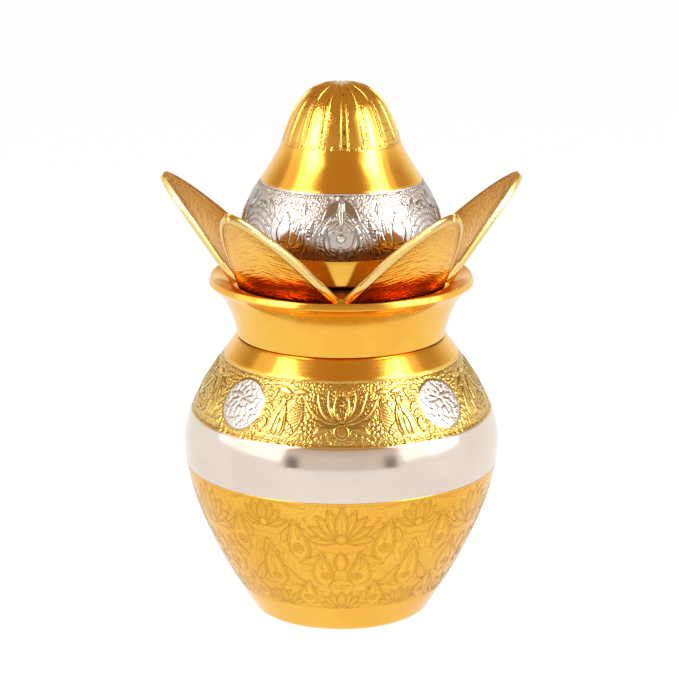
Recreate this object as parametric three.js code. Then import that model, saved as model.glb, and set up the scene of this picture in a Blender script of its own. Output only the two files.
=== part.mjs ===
// A lidded kalash: a brass pot with a flared neck, and a lid made of a dish that carries five
// upright leaves and a hollow fluted coconut. Millimetres, +Z up, the origin at the middle of
// the flat foot, and -Y the front. The lid lifts straight out of the neck, and the coconut
// turns on the stud that holds it to the dish.
import * as THREE from 'three';

// Pot body, heights from the table
const FOOT_FLAT_RADIUS = 21.5;
const FOOT_RADIUS = 25.3;
const FOOT_ROUND_HEIGHT = 2.4;
const FOOT_ROUND_REACH = 24.4;
const BELLY_RADIUS = 43.9;
const BELLY_HEIGHT = 49.5;
const BELLY_RISE_ANGLE = 57;
const SEAM_RADIUS = 29.0;
const SEAM_HEIGHT = 79.4;
const SHOULDER_ANGLE = 53;
const BODY_WALL = 1.2;
const BODY_FLOOR = 1.6;

// How far each outline keeps its direction from the end of a curve, as a share of its height
const LOWER_FOOT_PULL = 0.36;
const LOWER_BELLY_PULL = 0.32;
const UPPER_BELLY_PULL = 0.33;
const UPPER_SEAM_PULL = 0.4;
const NECK_SEAM_PULL = 0.66;
const NECK_LIP_PULL = 0.14;
const COCONUT_STEM_PULL = 0.45;
const COCONUT_BELLY_PULL = 0.34;
const COCONUT_SHOULDER_PULL = 0.33;
const COCONUT_WAIST_PULL = 0.36;
const DOME_WAIST_PULL = 0.62;
const DOME_TOP_PULL = 0.67;

// Neck, brazed into the mouth of the body, heights from the seam
const NECK_FOOT_STEP = 0.1;
const NECK_RISE = 15.1;
const NECK_START_ANGLE = 80;
const LIP_RADIUS = 36.8;
const LIP_ANGLE = 21;
const LIP_THICKNESS = 2.0;
const LIP_ROUND = 0.35;
const NECK_WALL = 1.4;
const COLLAR_WALL = 1.2;
const COLLAR_DEPTH = 2.6;

// Lid dish, which stands in the flare of the neck
const SEAT_RISE = 8.4;
const DISH_DEPTH = 7.2;
const DISH_RIM_MARGIN = 5.0;
const DISH_WALL = 2.2;
const DISH_INNER_ROUND = 5.5;
const SPIGOT_CLEARANCE = 0.6;
const SPIGOT_WALL = 1.4;
const SPIGOT_DEPTH = 6.6;
const PAD_RADIUS = 13.0;
const PAD_RISE = 3.8;

// Leaves, each a thick bossed plate brazed to the rim of the dish
const FRONT_LEAF_TURN = 34.5;
const SIDE_LEAF_TURN = 107;
const BACK_LEAF_TURN = 180;
const LEAF_WEB = 3.2;
const LEAF_REACH = 21.9;
const LEAF_RISE = 25.1;
const LEAF_FLARE = 1.5;
const LEAF_THICKNESS = 2.2;
const LEAF_TIP_WIDTH = 1.8;
const LEAF_TAPER = 0.6;
const LEAF_FLATTENING = 1.15;

// Coconut, heights from its foot
const COCONUT_FOOT_RADIUS = 24.5;
const COCONUT_STEM_RADIUS = 24.0;
const COCONUT_STEM_RISE = 6.9;
const COCONUT_UNDERSIDE_ANGLE = 46;
const COCONUT_RADIUS = 27.5;
const COCONUT_BELLY_RISE = 12.45;
const COCONUT_SEAM_RISE = 25.05;
const COCONUT_WAIST_RADIUS = 16.3;
const COCONUT_WAIST_RISE = 35.55;
const COCONUT_WAIST_ANGLE = 69;
const COCONUT_RISE = 51.65;
const COCONUT_WALL = 1.2;
const RIB_COUNT = 16;
const RIB_HEIGHT = 0.5;
const RIB_OFFSET_ANGLE = 3;
const RIB_RUNOUT = 1.6;

// Boss, stud, washer and nut between the coconut and the dish
const BOSS_RADIUS = 9.0;
const BOSS_HEIGHT = 3.75;
const STUD_RADIUS = 3.0;
const STUD_HEAD_RADIUS = 5.4;
const STUD_HEAD_HEIGHT = 2.2;
const STUD_CHAMFER = 0.6;
const STUD_TAIL = 1.5;
const WASHER_RADIUS = 7.4;
const WASHER_THICKNESS = 1.0;
const NUT_ACROSS_FLATS = 10.0;
const NUT_THICKNESS = 5.0;
const NUT_SIDES = 6;
const HOLE_CLEARANCE = 0.3;

// Solder and running gaps between pieces
const JOINT_GAP = 0.3;

// Facets
const ROUND_STEPS = 48;
const SMALL_ROUND_STEPS = 24;
const STEPS_PER_RIB = 5;
const SMALL_CURVE_STEPS = 3;
const BODY_STEPS = 8;
const NECK_STEPS = 8;
const COCONUT_BELLY_STEPS = 6;
const COCONUT_SHOULDER_STEPS = 9;
const DOME_STEPS = 9;
const BORE_STEPS = 12;
const LEAF_STEPS_ACROSS = 8;
const LEAF_STEPS_ALONG = 11;
const LEAF_STEP_CROWDING = 1.5;

const goldMaterial = () => new THREE.MeshStandardMaterial({ color: 0xd9a036, roughness: 0.28, metalness: 1 });
const silverMaterial = () => new THREE.MeshStandardMaterial({ color: 0xc9c3ba, roughness: 0.25, metalness: 1 });
const brassMaterial = () => new THREE.MeshStandardMaterial({ color: 0xb98a3e, roughness: 0.4, metalness: 1 });

const radians = THREE.MathUtils.degToRad;
const point = (radius, height) => new THREE.Vector2(radius, height);

// A point that lies a distance away along a direction given in degrees above the outward radius
function along(start, angle, distance) {
  return point(start.x + distance * Math.cos(radians(angle)), start.y + distance * Math.sin(radians(angle)));
}

// An outline from one point to another that leaves and arrives at given angles
function sweep(start, startAngle, startPull, end, endAngle, endPull, steps) {
  const height = Math.abs(end.y - start.y);
  const leave = along(start, startAngle, startPull * height);
  const arrive = along(end, endAngle + 180, endPull * height);
  return new THREE.CubicBezierCurve(start, leave, arrive, end).getPoints(steps);
}

// The same outline moved to its left by a wall that may change from its first to its last point
function offsetOutline(outline, firstWall, lastWall) {
  return outline.map((here, index) => {
    const before = outline[Math.max(index - 1, 0)];
    const after = outline[Math.min(index + 1, outline.length - 1)];
    const tangent = after.clone().sub(before).normalize();
    const wall = THREE.MathUtils.lerp(firstWall, lastWall, index / (outline.length - 1));
    return point(here.x - tangent.y * wall, here.y + tangent.x * wall);
  });
}

// The radius of an upward outline at a height
function radiusAt(outline, height) {
  const index = outline.findIndex((here) => here.y >= height);
  if (index <= 0) return outline[index < 0 ? outline.length - 1 : 0].x;
  const low = outline[index - 1];
  const high = outline[index];
  return THREE.MathUtils.lerp(low.x, high.x, (height - low.y) / (high.y - low.y));
}

// Every second point of an outline, with both ends, for a hidden inside face
function thinned(outline) {
  return outline.filter((here, index) => index % 2 === 0 || index === outline.length - 1);
}

// The parts of an upward outline above and below a height
function outlineAbove(outline, height) {
  return [point(radiusAt(outline, height), height), ...outline.filter((here) => here.y > height + JOINT_GAP)];
}

function outlineBelow(outline, height) {
  return [...outline.filter((here) => here.y < height - JOINT_GAP), point(radiusAt(outline, height), height)];
}

function turned(profile, steps) {
  return new THREE.LatheGeometry(profile, steps).rotateX(Math.PI / 2);
}

function ring(innerRadius, outerRadius, low, high, steps) {
  const profile = [
    point(innerRadius, low),
    point(outerRadius, low),
    point(outerRadius, high),
    point(innerRadius, high),
    point(innerRadius, low),
  ];
  return turned(profile, steps);
}

// Heights and outlines that more than one piece uses
const bodyOutline = [
  ...new THREE.QuadraticBezierCurve(
    point(FOOT_FLAT_RADIUS, 0),
    point(FOOT_ROUND_REACH, 0),
    point(FOOT_RADIUS, FOOT_ROUND_HEIGHT),
  ).getPoints(SMALL_CURVE_STEPS),
  ...sweep(
    point(FOOT_RADIUS, FOOT_ROUND_HEIGHT), BELLY_RISE_ANGLE, LOWER_FOOT_PULL,
    point(BELLY_RADIUS, BELLY_HEIGHT), 90, LOWER_BELLY_PULL, BODY_STEPS,
  ).slice(1),
  ...sweep(
    point(BELLY_RADIUS, BELLY_HEIGHT), 90, UPPER_BELLY_PULL,
    point(SEAM_RADIUS, SEAM_HEIGHT), 180 - SHOULDER_ANGLE, UPPER_SEAM_PULL, BODY_STEPS,
  ).slice(1),
];
const bodyInnerOutline = offsetOutline(bodyOutline, BODY_WALL, BODY_WALL).filter((here) => here.y > BODY_FLOOR);
const mouthRadius = bodyInnerOutline[bodyInnerOutline.length - 1].x;

const neckFoot = SEAM_HEIGHT + JOINT_GAP;
const neckOutline = sweep(
  point(SEAM_RADIUS - NECK_FOOT_STEP, neckFoot), NECK_START_ANGLE, NECK_SEAM_PULL,
  point(LIP_RADIUS, SEAM_HEIGHT + NECK_RISE), LIP_ANGLE, NECK_LIP_PULL, NECK_STEPS,
);
const neckInnerOutline = offsetOutline(neckOutline, NECK_WALL, LIP_THICKNESS);
const collarRadius = mouthRadius - JOINT_GAP;
const throatRadius = collarRadius - COLLAR_WALL;
const lipInner = neckInnerOutline[neckInnerOutline.length - 1];

const seatHeight = SEAM_HEIGHT + SEAT_RISE;
const seatRadius = radiusAt(neckInnerOutline, seatHeight) - JOINT_GAP;
const dishFloor = seatHeight + DISH_WALL;
const rim = point(lipInner.x - DISH_RIM_MARGIN, seatHeight + DISH_DEPTH);
const padTop = dishFloor + PAD_RISE;
const padUnderside = padTop - DISH_WALL;
const holeRadius = STUD_RADIUS + HOLE_CLEARANCE;

// The middle line of a leaf from its root: where it ends, and the point that it leaves towards.
// The rim of the dish leans the same way as the root
const leafChord = point(LEAF_REACH, LEAF_RISE);
const leafNormal = point(LEAF_RISE, -LEAF_REACH).normalize();
const leafLean = leafChord.clone().multiplyScalar(0.5).addScaledVector(leafNormal, -2 * LEAF_FLARE);
const rimAngle = THREE.MathUtils.radToDeg(leafLean.angle());
const rimInner = along(rim, rimAngle + 90, DISH_WALL);

const coconutFoot = padTop + BOSS_HEIGHT + 2 * JOINT_GAP;
const coconutSeam = coconutFoot + COCONUT_SEAM_RISE;
const waist = point(COCONUT_WAIST_RADIUS, coconutFoot + COCONUT_WAIST_RISE);
const coconutOutline = [
  point(COCONUT_FOOT_RADIUS, coconutFoot),
  ...sweep(
    point(COCONUT_STEM_RADIUS, coconutFoot + COCONUT_STEM_RISE), COCONUT_UNDERSIDE_ANGLE, COCONUT_STEM_PULL,
    point(COCONUT_RADIUS, coconutFoot + COCONUT_BELLY_RISE), 90, COCONUT_BELLY_PULL, COCONUT_BELLY_STEPS,
  ),
  ...sweep(
    point(COCONUT_RADIUS, coconutFoot + COCONUT_BELLY_RISE), 90, COCONUT_SHOULDER_PULL,
    waist, 180 - COCONUT_WAIST_ANGLE, COCONUT_WAIST_PULL, COCONUT_SHOULDER_STEPS,
  ).slice(1),
];
const coconutInnerOutline = offsetOutline(coconutOutline, COCONUT_WALL, COCONUT_WALL);
const domeOutline = sweep(
  waist, 180 - COCONUT_WAIST_ANGLE, DOME_WAIST_PULL,
  point(0, coconutFoot + COCONUT_RISE), 180, DOME_TOP_PULL, DOME_STEPS,
);

function potBody() {
  const profile = [
    point(0, 0),
    ...bodyOutline,
    ...thinned(bodyInnerOutline).toReversed(),
    point(radiusAt(bodyInnerOutline, BODY_FLOOR) - BODY_WALL, BODY_FLOOR),
    point(0, BODY_FLOOR),
  ];
  return turned(profile, ROUND_STEPS);
}

// The neck laps inside the mouth of the body with a short collar, and its lip is the end of
// the flare, square to it and a little rounded
function potNeck() {
  const lipFace = lipInner.clone().sub(neckOutline[neckOutline.length - 1]).normalize();
  const collarFoot = neckFoot - COLLAR_DEPTH;
  const lipRound = Math.min(LIP_ROUND, LIP_THICKNESS / 3);
  const lowLip = neckOutline[neckOutline.length - 1].clone().addScaledVector(lipFace, lipRound);
  const highLip = lipInner.clone().addScaledVector(lipFace, -lipRound);
  const outward = point(lipFace.y, -lipFace.x).multiplyScalar(lipRound);
  const profile = [
    point(throatRadius, collarFoot),
    point(collarRadius, collarFoot),
    point(collarRadius, neckFoot),
    ...neckOutline,
    lowLip.add(outward),
    highLip.add(outward),
    ...neckInnerOutline.slice(2).toReversed(),
    point(throatRadius, neckFoot),
    point(throatRadius, collarFoot),
  ];
  return turned(profile, ROUND_STEPS);
}

// The dish has a raised pad for the coconut, an upturned rim for the leaves, a seat that
// rests in the flare of the neck and a spigot that centres it in the throat
function lidDish() {
  const spigotRadius = throatRadius - SPIGOT_CLEARANCE;
  const spigotInner = spigotRadius - SPIGOT_WALL;
  const spigotFoot = seatHeight - SPIGOT_DEPTH;
  const wallFoot = point(seatRadius - DISH_WALL, dishFloor);
  const innerRound = new THREE.QuadraticBezierCurve(
    along(wallFoot, rimAngle, DISH_INNER_ROUND / 2),
    wallFoot,
    point(wallFoot.x - DISH_INNER_ROUND / 2, dishFloor),
  ).getPoints(SMALL_CURVE_STEPS);
  const profile = [
    point(holeRadius, padUnderside),
    point(PAD_RADIUS - DISH_WALL, padUnderside),
    point(PAD_RADIUS - DISH_WALL, seatHeight),
    point(spigotInner, seatHeight),
    point(spigotInner, spigotFoot),
    point(spigotRadius, spigotFoot),
    point(spigotRadius, seatHeight),
    point(seatRadius, seatHeight),
    rim,
    rimInner,
    ...innerRound,
    point(PAD_RADIUS, dishFloor),
    point(PAD_RADIUS, padTop),
    point(holeRadius, padTop),
    point(holeRadius, padUnderside),
  ];
  return turned(profile, ROUND_STEPS);
}

// A leaf is a plate, cut to a leaf outline that ends in a blunt tip, flared outward from its
// root, and hollowed across so that its root lies on the round rim of the dish
function leaf() {
  const halfRoot = radians(FRONT_LEAF_TURN) - Math.asin(LEAF_WEB / 2 / rim.x);
  const rootHalfWidth = rim.x * Math.sin(halfRoot);
  const tipShare = 1 - Math.pow(LEAF_TIP_WIDTH / 2 / rootHalfWidth, 1 / LEAF_TAPER);
  const root = along(rim, rimAngle, JOINT_GAP);
  const midLine = new THREE.QuadraticBezierCurve(root, root.clone().add(leafLean), root.clone().add(leafChord));
  const blank = new THREE.BoxGeometry(2, 1, 1, LEAF_STEPS_ACROSS, LEAF_STEPS_ALONG, 1);
  const place = blank.getAttribute('position');
  for (let index = 0; index < place.count; index += 1) {
    const across = place.getX(index);
    const share = 1 - Math.pow(0.5 - place.getY(index), LEAF_STEP_CROWDING);
    const depth = LEAF_THICKNESS * (0.5 - place.getZ(index));
    const width = rootHalfWidth * Math.pow(1 - share * tipShare, LEAF_TAPER);
    const mid = midLine.getPoint(share);
    const slope = midLine.getTangent(share);
    const aside = across * width;
    const hollow = (1 - LEAF_FLATTENING * share) * (rim.x - Math.sqrt(rim.x * rim.x - aside * aside));
    const radius = mid.x - hollow - slope.y * depth;
    place.setXYZ(index, aside, -radius, mid.y + slope.x * depth);
  }
  return blank;
}

// The belly shell of the coconut, closed below by its upright foot, with a hole for the stud
function coconutLowerShell() {
  const outer = outlineBelow(coconutOutline, coconutSeam - JOINT_GAP / 2);
  const floorTop = coconutFoot + COCONUT_WALL;
  const inner = outlineBelow(coconutInnerOutline, coconutSeam - JOINT_GAP / 2).filter((here) => here.y > floorTop);
  const profile = [
    point(holeRadius, coconutFoot),
    ...outer,
    ...thinned(inner).toReversed(),
    point(radiusAt(coconutInnerOutline, floorTop) - COCONUT_WALL / 2, floorTop),
    point(holeRadius, floorTop),
    point(holeRadius, coconutFoot),
  ];
  return turned(profile, ROUND_STEPS);
}

// The upper shell of the coconut, smooth at its waist and fluted over its dome by ribs that
// run together at the top
function coconutUpperShell() {
  const outer = [...outlineAbove(coconutOutline, coconutSeam + JOINT_GAP / 2), ...domeOutline.slice(1)];
  const shell = [...coconutInnerOutline, ...offsetOutline(domeOutline, COCONUT_WALL, COCONUT_WALL).slice(1, -1)];
  const ceiling = coconutFoot + COCONUT_RISE - COCONUT_WALL;
  const inner = outlineAbove(shell, coconutSeam + JOINT_GAP / 2).filter((here) => here.y < ceiling);
  const profile = [point(0, ceiling), ...thinned(inner).toReversed(), ...outer];
  const geometry = turned(profile, RIB_COUNT * STEPS_PER_RIB);
  const place = geometry.getAttribute('position');
  const ribPitch = (2 * Math.PI) / RIB_COUNT;
  for (let index = 0; index < place.count; index += 1) {
    const radius = Math.hypot(place.getX(index), place.getY(index));
    const height = place.getZ(index);
    const onOuterFace = height > waist.y && radius > radiusAt(domeOutline, height) - COCONUT_WALL / 2;
    if (!onOuterFace) continue;
    const angle = Math.atan2(place.getX(index), -place.getY(index));
    const step = Math.round((angle / ribPitch) * STEPS_PER_RIB);
    const onCrest = step % STEPS_PER_RIB === 0;
    const runout = Math.min(1, (height - waist.y) / RIB_RUNOUT);
    const rise = onCrest ? RIB_HEIGHT * runout * Math.min(1, radius / COCONUT_WAIST_RADIUS) : 0;
    const grown = radius > 0 ? (radius + rise) / radius : 1;
    place.setXY(index, place.getX(index) * grown, place.getY(index) * grown);
  }
  return geometry.rotateZ(radians(RIB_OFFSET_ANGLE));
}

// A round head inside the coconut and a shank through the boss, the pad, the washer and the nut
function lidStud() {
  const headLow = coconutFoot + COCONUT_WALL + JOINT_GAP;
  const headHigh = headLow + STUD_HEAD_HEIGHT;
  const tail = padUnderside - WASHER_THICKNESS - NUT_THICKNESS - 2 * JOINT_GAP - STUD_TAIL;
  const profile = [
    point(0, tail),
    point(STUD_RADIUS - STUD_CHAMFER, tail),
    point(STUD_RADIUS, tail + STUD_CHAMFER),
    point(STUD_RADIUS, headLow),
    point(STUD_HEAD_RADIUS, headLow),
    point(STUD_HEAD_RADIUS, headHigh - STUD_CHAMFER),
    point(STUD_HEAD_RADIUS - STUD_CHAMFER, headHigh),
    point(0, headHigh),
  ];
  return turned(profile, SMALL_ROUND_STEPS);
}

function coconutBoss() {
  const low = padTop + JOINT_GAP;
  return ring(holeRadius, BOSS_RADIUS, low, low + BOSS_HEIGHT, SMALL_ROUND_STEPS);
}

function studWasher() {
  const high = padUnderside - JOINT_GAP;
  return ring(holeRadius, WASHER_RADIUS, high - WASHER_THICKNESS, high, SMALL_ROUND_STEPS);
}

function studNut() {
  const cornerRadius = NUT_ACROSS_FLATS / 2 / Math.cos(Math.PI / NUT_SIDES);
  const outline = new THREE.Shape();
  for (let corner = 0; corner < NUT_SIDES; corner += 1) {
    const angle = (2 * Math.PI * corner) / NUT_SIDES;
    const x = cornerRadius * Math.cos(angle);
    const y = cornerRadius * Math.sin(angle);
    if (corner === 0) outline.moveTo(x, y);
    else outline.lineTo(x, y);
  }
  outline.closePath();
  const bore = new THREE.Path();
  bore.absarc(0, 0, holeRadius, 0, 2 * Math.PI, true);
  outline.holes.push(bore);
  const extent = { depth: NUT_THICKNESS, bevelEnabled: false, curveSegments: BORE_STEPS };
  const high = padUnderside - WASHER_THICKNESS - 2 * JOINT_GAP;
  return new THREE.ExtrudeGeometry(outline, extent).translate(0, 0, high - NUT_THICKNESS);
}

function piece(name, geometry, material) {
  const mesh = new THREE.Mesh(geometry, material);
  mesh.name = name;
  return mesh;
}

function pot() {
  const group = new THREE.Group();
  group.add(piece('pot_body', potBody(), goldMaterial()));
  group.add(piece('pot_neck', potNeck(), goldMaterial()));
  return group;
}

function crown() {
  const group = new THREE.Group();
  group.add(piece('lid_dish', lidDish(), goldMaterial()));
  group.add(piece('stud_washer', studWasher(), brassMaterial()));
  group.add(piece('stud_nut', studNut(), brassMaterial()));
  const turns = {
    leaf_front_left: -FRONT_LEAF_TURN,
    leaf_front_right: FRONT_LEAF_TURN,
    leaf_left: -SIDE_LEAF_TURN,
    leaf_right: SIDE_LEAF_TURN,
    leaf_back: BACK_LEAF_TURN,
  };
  for (const [name, turn] of Object.entries(turns)) {
    const mesh = piece(name, leaf(), goldMaterial());
    mesh.rotation.z = radians(turn);
    group.add(mesh);
  }
  return group;
}

function coconut() {
  const group = new THREE.Group();
  group.add(piece('coconut_lower_shell', coconutLowerShell(), silverMaterial()));
  group.add(piece('coconut_upper_shell', coconutUpperShell(), goldMaterial()));
  group.add(piece('coconut_boss', coconutBoss(), brassMaterial()));
  group.add(piece('lid_stud', lidStud(), brassMaterial()));
  return group;
}

const kalash = new THREE.Group();
kalash.add(pot(), crown(), coconut());

export default kalash;
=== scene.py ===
"""A lidded kalash, dressed for its picture.

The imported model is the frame. Its faceted shells are replaced by smooth turned shells whose
plated bands carry chased ornament as real relief, and the leaves by engraved ones. Lengths are
in millimetres and become metres where a mesh is made. Angles round the pot are measured from
its front, towards the viewer's right.
"""
import logging
import math
from collections.abc import Callable
from dataclasses import dataclass, field
from enum import Enum

import bpy
import numpy as np
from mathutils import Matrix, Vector


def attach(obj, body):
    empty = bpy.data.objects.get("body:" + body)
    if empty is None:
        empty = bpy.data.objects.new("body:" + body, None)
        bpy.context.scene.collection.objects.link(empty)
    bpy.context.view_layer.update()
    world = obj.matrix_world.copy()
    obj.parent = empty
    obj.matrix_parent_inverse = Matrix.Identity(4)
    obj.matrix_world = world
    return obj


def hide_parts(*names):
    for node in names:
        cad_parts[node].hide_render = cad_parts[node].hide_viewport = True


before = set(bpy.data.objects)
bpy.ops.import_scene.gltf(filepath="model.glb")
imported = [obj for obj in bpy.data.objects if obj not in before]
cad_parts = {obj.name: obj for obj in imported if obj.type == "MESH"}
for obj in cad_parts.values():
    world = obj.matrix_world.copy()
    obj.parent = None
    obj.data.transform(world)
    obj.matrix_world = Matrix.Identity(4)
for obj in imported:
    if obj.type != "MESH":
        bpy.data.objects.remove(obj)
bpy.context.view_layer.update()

LOG = logging.getLogger("kalash")
MM = 0.001
QUARTER_TURN = math.pi / 2
FULL_TURN = 2 * math.pi
NOISE_CELLS = 256
WHITE = (1.0, 1.0, 1.0, 1.0)
Array = np.ndarray
Socket = bpy.types.NodeSocket
Number = float | Socket


class Slot(Enum):
    """The record's material slots."""

    GOLD_PLATE = "gold_plate"
    GOLD_ENGRAVED = "gold_engraved"
    SILVER_PLATE = "silver_plate"
    SILVER_ENGRAVED = "silver_engraved"
    BARE_BRASS = "bare_brass"


class Body(Enum):
    """The bodies that move against each other."""

    POT = "pot"
    CROWN = "crown"
    COCONUT = "coconut"


def direction(degrees: float) -> Array:
    """A unit vector at an angle above the outward radius."""
    return np.array([math.cos(math.radians(degrees)), math.sin(math.radians(degrees))])


def smooth(value: Array, low: float, high: float) -> Array:
    """A soft step from 0 below low to 1 above high."""
    share = np.clip((value - low) / (high - low), 0.0, 1.0)
    return share * share * (3.0 - 2.0 * share)


def plateau(value: Array, start: float, full: float, falling: float, end: float) -> Array:
    """A soft step up from 0 at start to 1 at full, and down again from falling to end."""
    return smooth(value, start, full) * (1 - smooth(value, falling, end))


def bezier(points: list, steps: int) -> Array:
    """Points on a Bezier curve.

    Args:
        points: three or four control points.
        steps: how many stretches the curve is cut into.

    Returns:
        An array of steps + 1 points.
    """
    share = np.linspace(0.0, 1.0, steps + 1)[:, None]
    degree = len(points) - 1
    total = np.zeros((steps + 1, len(points[0])))
    for index, control in enumerate(points):
        weight = math.comb(degree, index) * share**index * (1.0 - share) ** (degree - index)
        total += weight * np.asarray(control, float)
    return total


def sweep(start: Array, start_angle: float, end: Array, end_angle: float, pulls: tuple,
          steps: int = 160) -> Array:
    """An outline that leaves its start and reaches its end at given angles.

    Args:
        start: first point, as radius and height.
        start_angle: direction at the start, in degrees above the outward radius.
        end: last point.
        end_angle: direction at the end.
        pulls: how far each direction holds, as a share of the height.
        steps: how many stretches the outline is cut into.

    Returns:
        The points of the outline.
    """
    height = abs(end[1] - start[1])
    leave = start + pulls[0] * height * direction(start_angle)
    arrive = end - pulls[1] * height * direction(end_angle)
    return bezier([start, leave, arrive, end], steps)


def normals(outline: Array) -> Array:
    """Unit normals to the right of an outline, which is outward where it runs upward.

    Args:
        outline: the points.

    Returns:
        One direction for each point.
    """
    tangent = np.gradient(outline, axis=0)
    tangent /= np.linalg.norm(tangent, axis=1, keepdims=True)
    return np.stack([tangent[:, 1], -tangent[:, 0]], axis=1)


def inset(outline: Array, wall: float) -> Array:
    """An outline moved inward by a wall."""
    return outline - wall * normals(outline)


def spun(rows: Array, columns: int) -> Array:
    """Rows of radius and height, repeated for each column round the axis."""
    return np.repeat(np.asarray(rows)[:, None, :], columns, axis=1)


def raised(outline: Array, height: Array) -> Array:
    """An outline pushed outward by a height at each row and column."""
    return outline[:, None, :] + height[..., None] * normals(outline)[:, None, :]


def cut(outline: Array, low: float, high: float) -> Array:
    """The stretch of an upward outline between two heights.

    Args:
        outline: the points.
        low: height where the stretch starts.
        high: height where it ends.

    Returns:
        The points of the stretch.
    """
    heights = np.maximum.accumulate(outline[:, 1])
    inner = outline[(heights > low) & (heights < high)]
    ends = [[np.interp(level, heights, outline[:, 0]), level] for level in (low, high)]
    return np.vstack([ends[:1], inner, ends[1:]])


def arc_lengths(outline: Array) -> Array:
    """The length along an outline at each of its points."""
    steps = np.linalg.norm(np.diff(outline, axis=0), axis=1)
    return np.concatenate([[0.0], np.cumsum(steps)])


def even(outline: Array, rows: int) -> Array:
    """An outline with its points spread evenly along it.

    Args:
        outline: the points.
        rows: how many points to give back.

    Returns:
        The new points.
    """
    along = arc_lengths(outline)
    wanted = np.linspace(0.0, along[-1], rows)
    return np.stack([np.interp(wanted, along, outline[:, axis]) for axis in (0, 1)], axis=1)


def rounded(corners: list, steps: int = 5) -> Array:
    """A profile whose corners are rounded.

    Args:
        corners: (radius, height, rounding) for each corner.
        steps: how many stretches a rounding is cut into.

    Returns:
        The points of the profile.
    """
    points = [np.array(corner[:2], float) for corner in corners]
    made = []
    for index, (_, _, rounding) in enumerate(corners):
        here = points[index]
        if rounding <= 0 or index in (0, len(corners) - 1):
            made.append(here[None])
            continue
        ends = []
        for other in (points[index - 1], points[index + 1]):
            gap = other - here
            ends.append(here + gap * min(rounding / np.linalg.norm(gap), 0.5))
        made.append(bezier([ends[0], here, ends[1]], steps))
    return np.vstack(made)


def noise(x: Array, y: Array, cell: float, seed: int, period: float = 0.0) -> Array:
    """Smooth random heights between 0 and 1.

    Args:
        x: positions across.
        y: positions along.
        cell: size of a bump.
        seed: which of many patterns.
        period: length after which the pattern meets itself across, or 0.

    Returns:
        One value for each position.
    """
    rows = NOISE_CELLS
    columns = max(1, round(period / cell)) if period else NOISE_CELLS
    table = np.random.default_rng(seed).random((rows, columns))
    across = x * columns / period if period else x / cell
    along = y / cell
    left = np.floor(across).astype(int)
    low = np.floor(along).astype(int)
    side = smooth(across - left, 0.0, 1.0)
    rise = smooth(along - low, 0.0, 1.0)

    def corner(step_across: int, step_along: int) -> Array:
        """The table's value at one corner of each cell."""
        return table[(low + step_along) % rows, (left + step_across) % columns]

    lower = corner(0, 0) * (1 - side) + corner(1, 0) * side
    upper = corner(0, 1) * (1 - side) + corner(1, 1) * side
    return lower * (1 - rise) + upper * rise


def build_mesh(name: str, places: Array, faces: Array, corners: Array, fields: dict) -> bpy.types.Object:
    """A mesh object from arrays.

    Args:
        name: the piece's name.
        places: vertex places in millimetres.
        faces: vertex numbers, four to a face; a triangle repeats its last one.
        corners: a place on the unit square for each corner of each face.
        fields: a value at each vertex, by name.

    Returns:
        The new object, smooth shaded and linked to the scene.
    """
    mesh = bpy.data.meshes.new(name)
    keep = np.ones(faces.shape, bool)
    keep[:, 3] = faces[:, 3] != faces[:, 2]
    mesh.vertices.add(len(places))
    mesh.vertices.foreach_set("co", (places * MM).astype(np.float32).ravel())
    mesh.loops.add(int(keep.sum()))
    mesh.loops.foreach_set("vertex_index", faces[keep].astype(np.int32))
    counts = keep.sum(axis=1)
    mesh.polygons.add(len(faces))
    mesh.polygons.foreach_set("loop_start", np.concatenate([[0], np.cumsum(counts)[:-1]]).astype(np.int32))
    mesh.update(calc_edges=True)
    layer = mesh.uv_layers.new(name="OFBake")
    layer.uv.foreach_set("vector", corners[keep].astype(np.float32).ravel())
    for field_name, values in fields.items():
        attribute = mesh.attributes.new(field_name, "FLOAT", "POINT")
        attribute.data.foreach_set("value", values.astype(np.float32).ravel())
    mesh.shade_smooth()
    piece = bpy.data.objects.new(name, mesh)
    bpy.context.scene.collection.objects.link(piece)
    return piece


def crease(piece: bpy.types.Object, degrees: float = 38.0) -> None:
    """Keeps a piece's edges crisp where its faces meet at more than an angle."""
    piece.data.set_sharp_from_angle(angle=math.radians(degrees))


def closed_grid(name: str, places: Array, poles: bool, fields: dict | None = None) -> bpy.types.Object:
    """A closed solid whose skin is a grid that meets itself sideways.

    Args:
        name: the piece's name.
        places: a place in millimetres for each row and column.
        poles: whether the first and last rows shrink to a point; if not, they meet each other.
        fields: a value for each row and column, by name.

    Returns:
        The new object.
    """
    rows, columns = places.shape[:2]
    index = np.arange(rows * columns).reshape(rows, columns)
    if poles:
        index[0] = index[0, 0]
        index[-1] = index[-1, 0]
    low = np.arange(rows - 1 if poles else rows)
    high = (low + 1) % rows
    right = (np.arange(columns) + 1) % columns
    quads = np.stack([index[low], index[low][:, right], index[high][:, right], index[high]], axis=-1)
    across, along = np.meshgrid(np.arange(columns), low)
    square = [(0, 0), (1, 0), (1, 1), (0, 1)]
    corners = np.stack([
        np.stack([(across + step_u) / columns, (along + step_v) / rows], axis=-1)
        for step_u, step_v in square
    ], axis=2)
    quads, corners = quads.reshape(-1, 4), corners.reshape(-1, 4, 2)
    if poles:
        first = quads[:, 0] == quads[:, 1]
        quads[first] = quads[first][:, [0, 2, 3, 3]]
        corners[first] = corners[first][:, [0, 2, 3, 3]]
    used, packed = np.unique(quads, return_inverse=True)
    values = {key: each.ravel()[used] for key, each in (fields or {}).items()}
    return build_mesh(name, places.reshape(-1, 3)[used], packed.reshape(quads.shape), corners, values)


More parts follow.
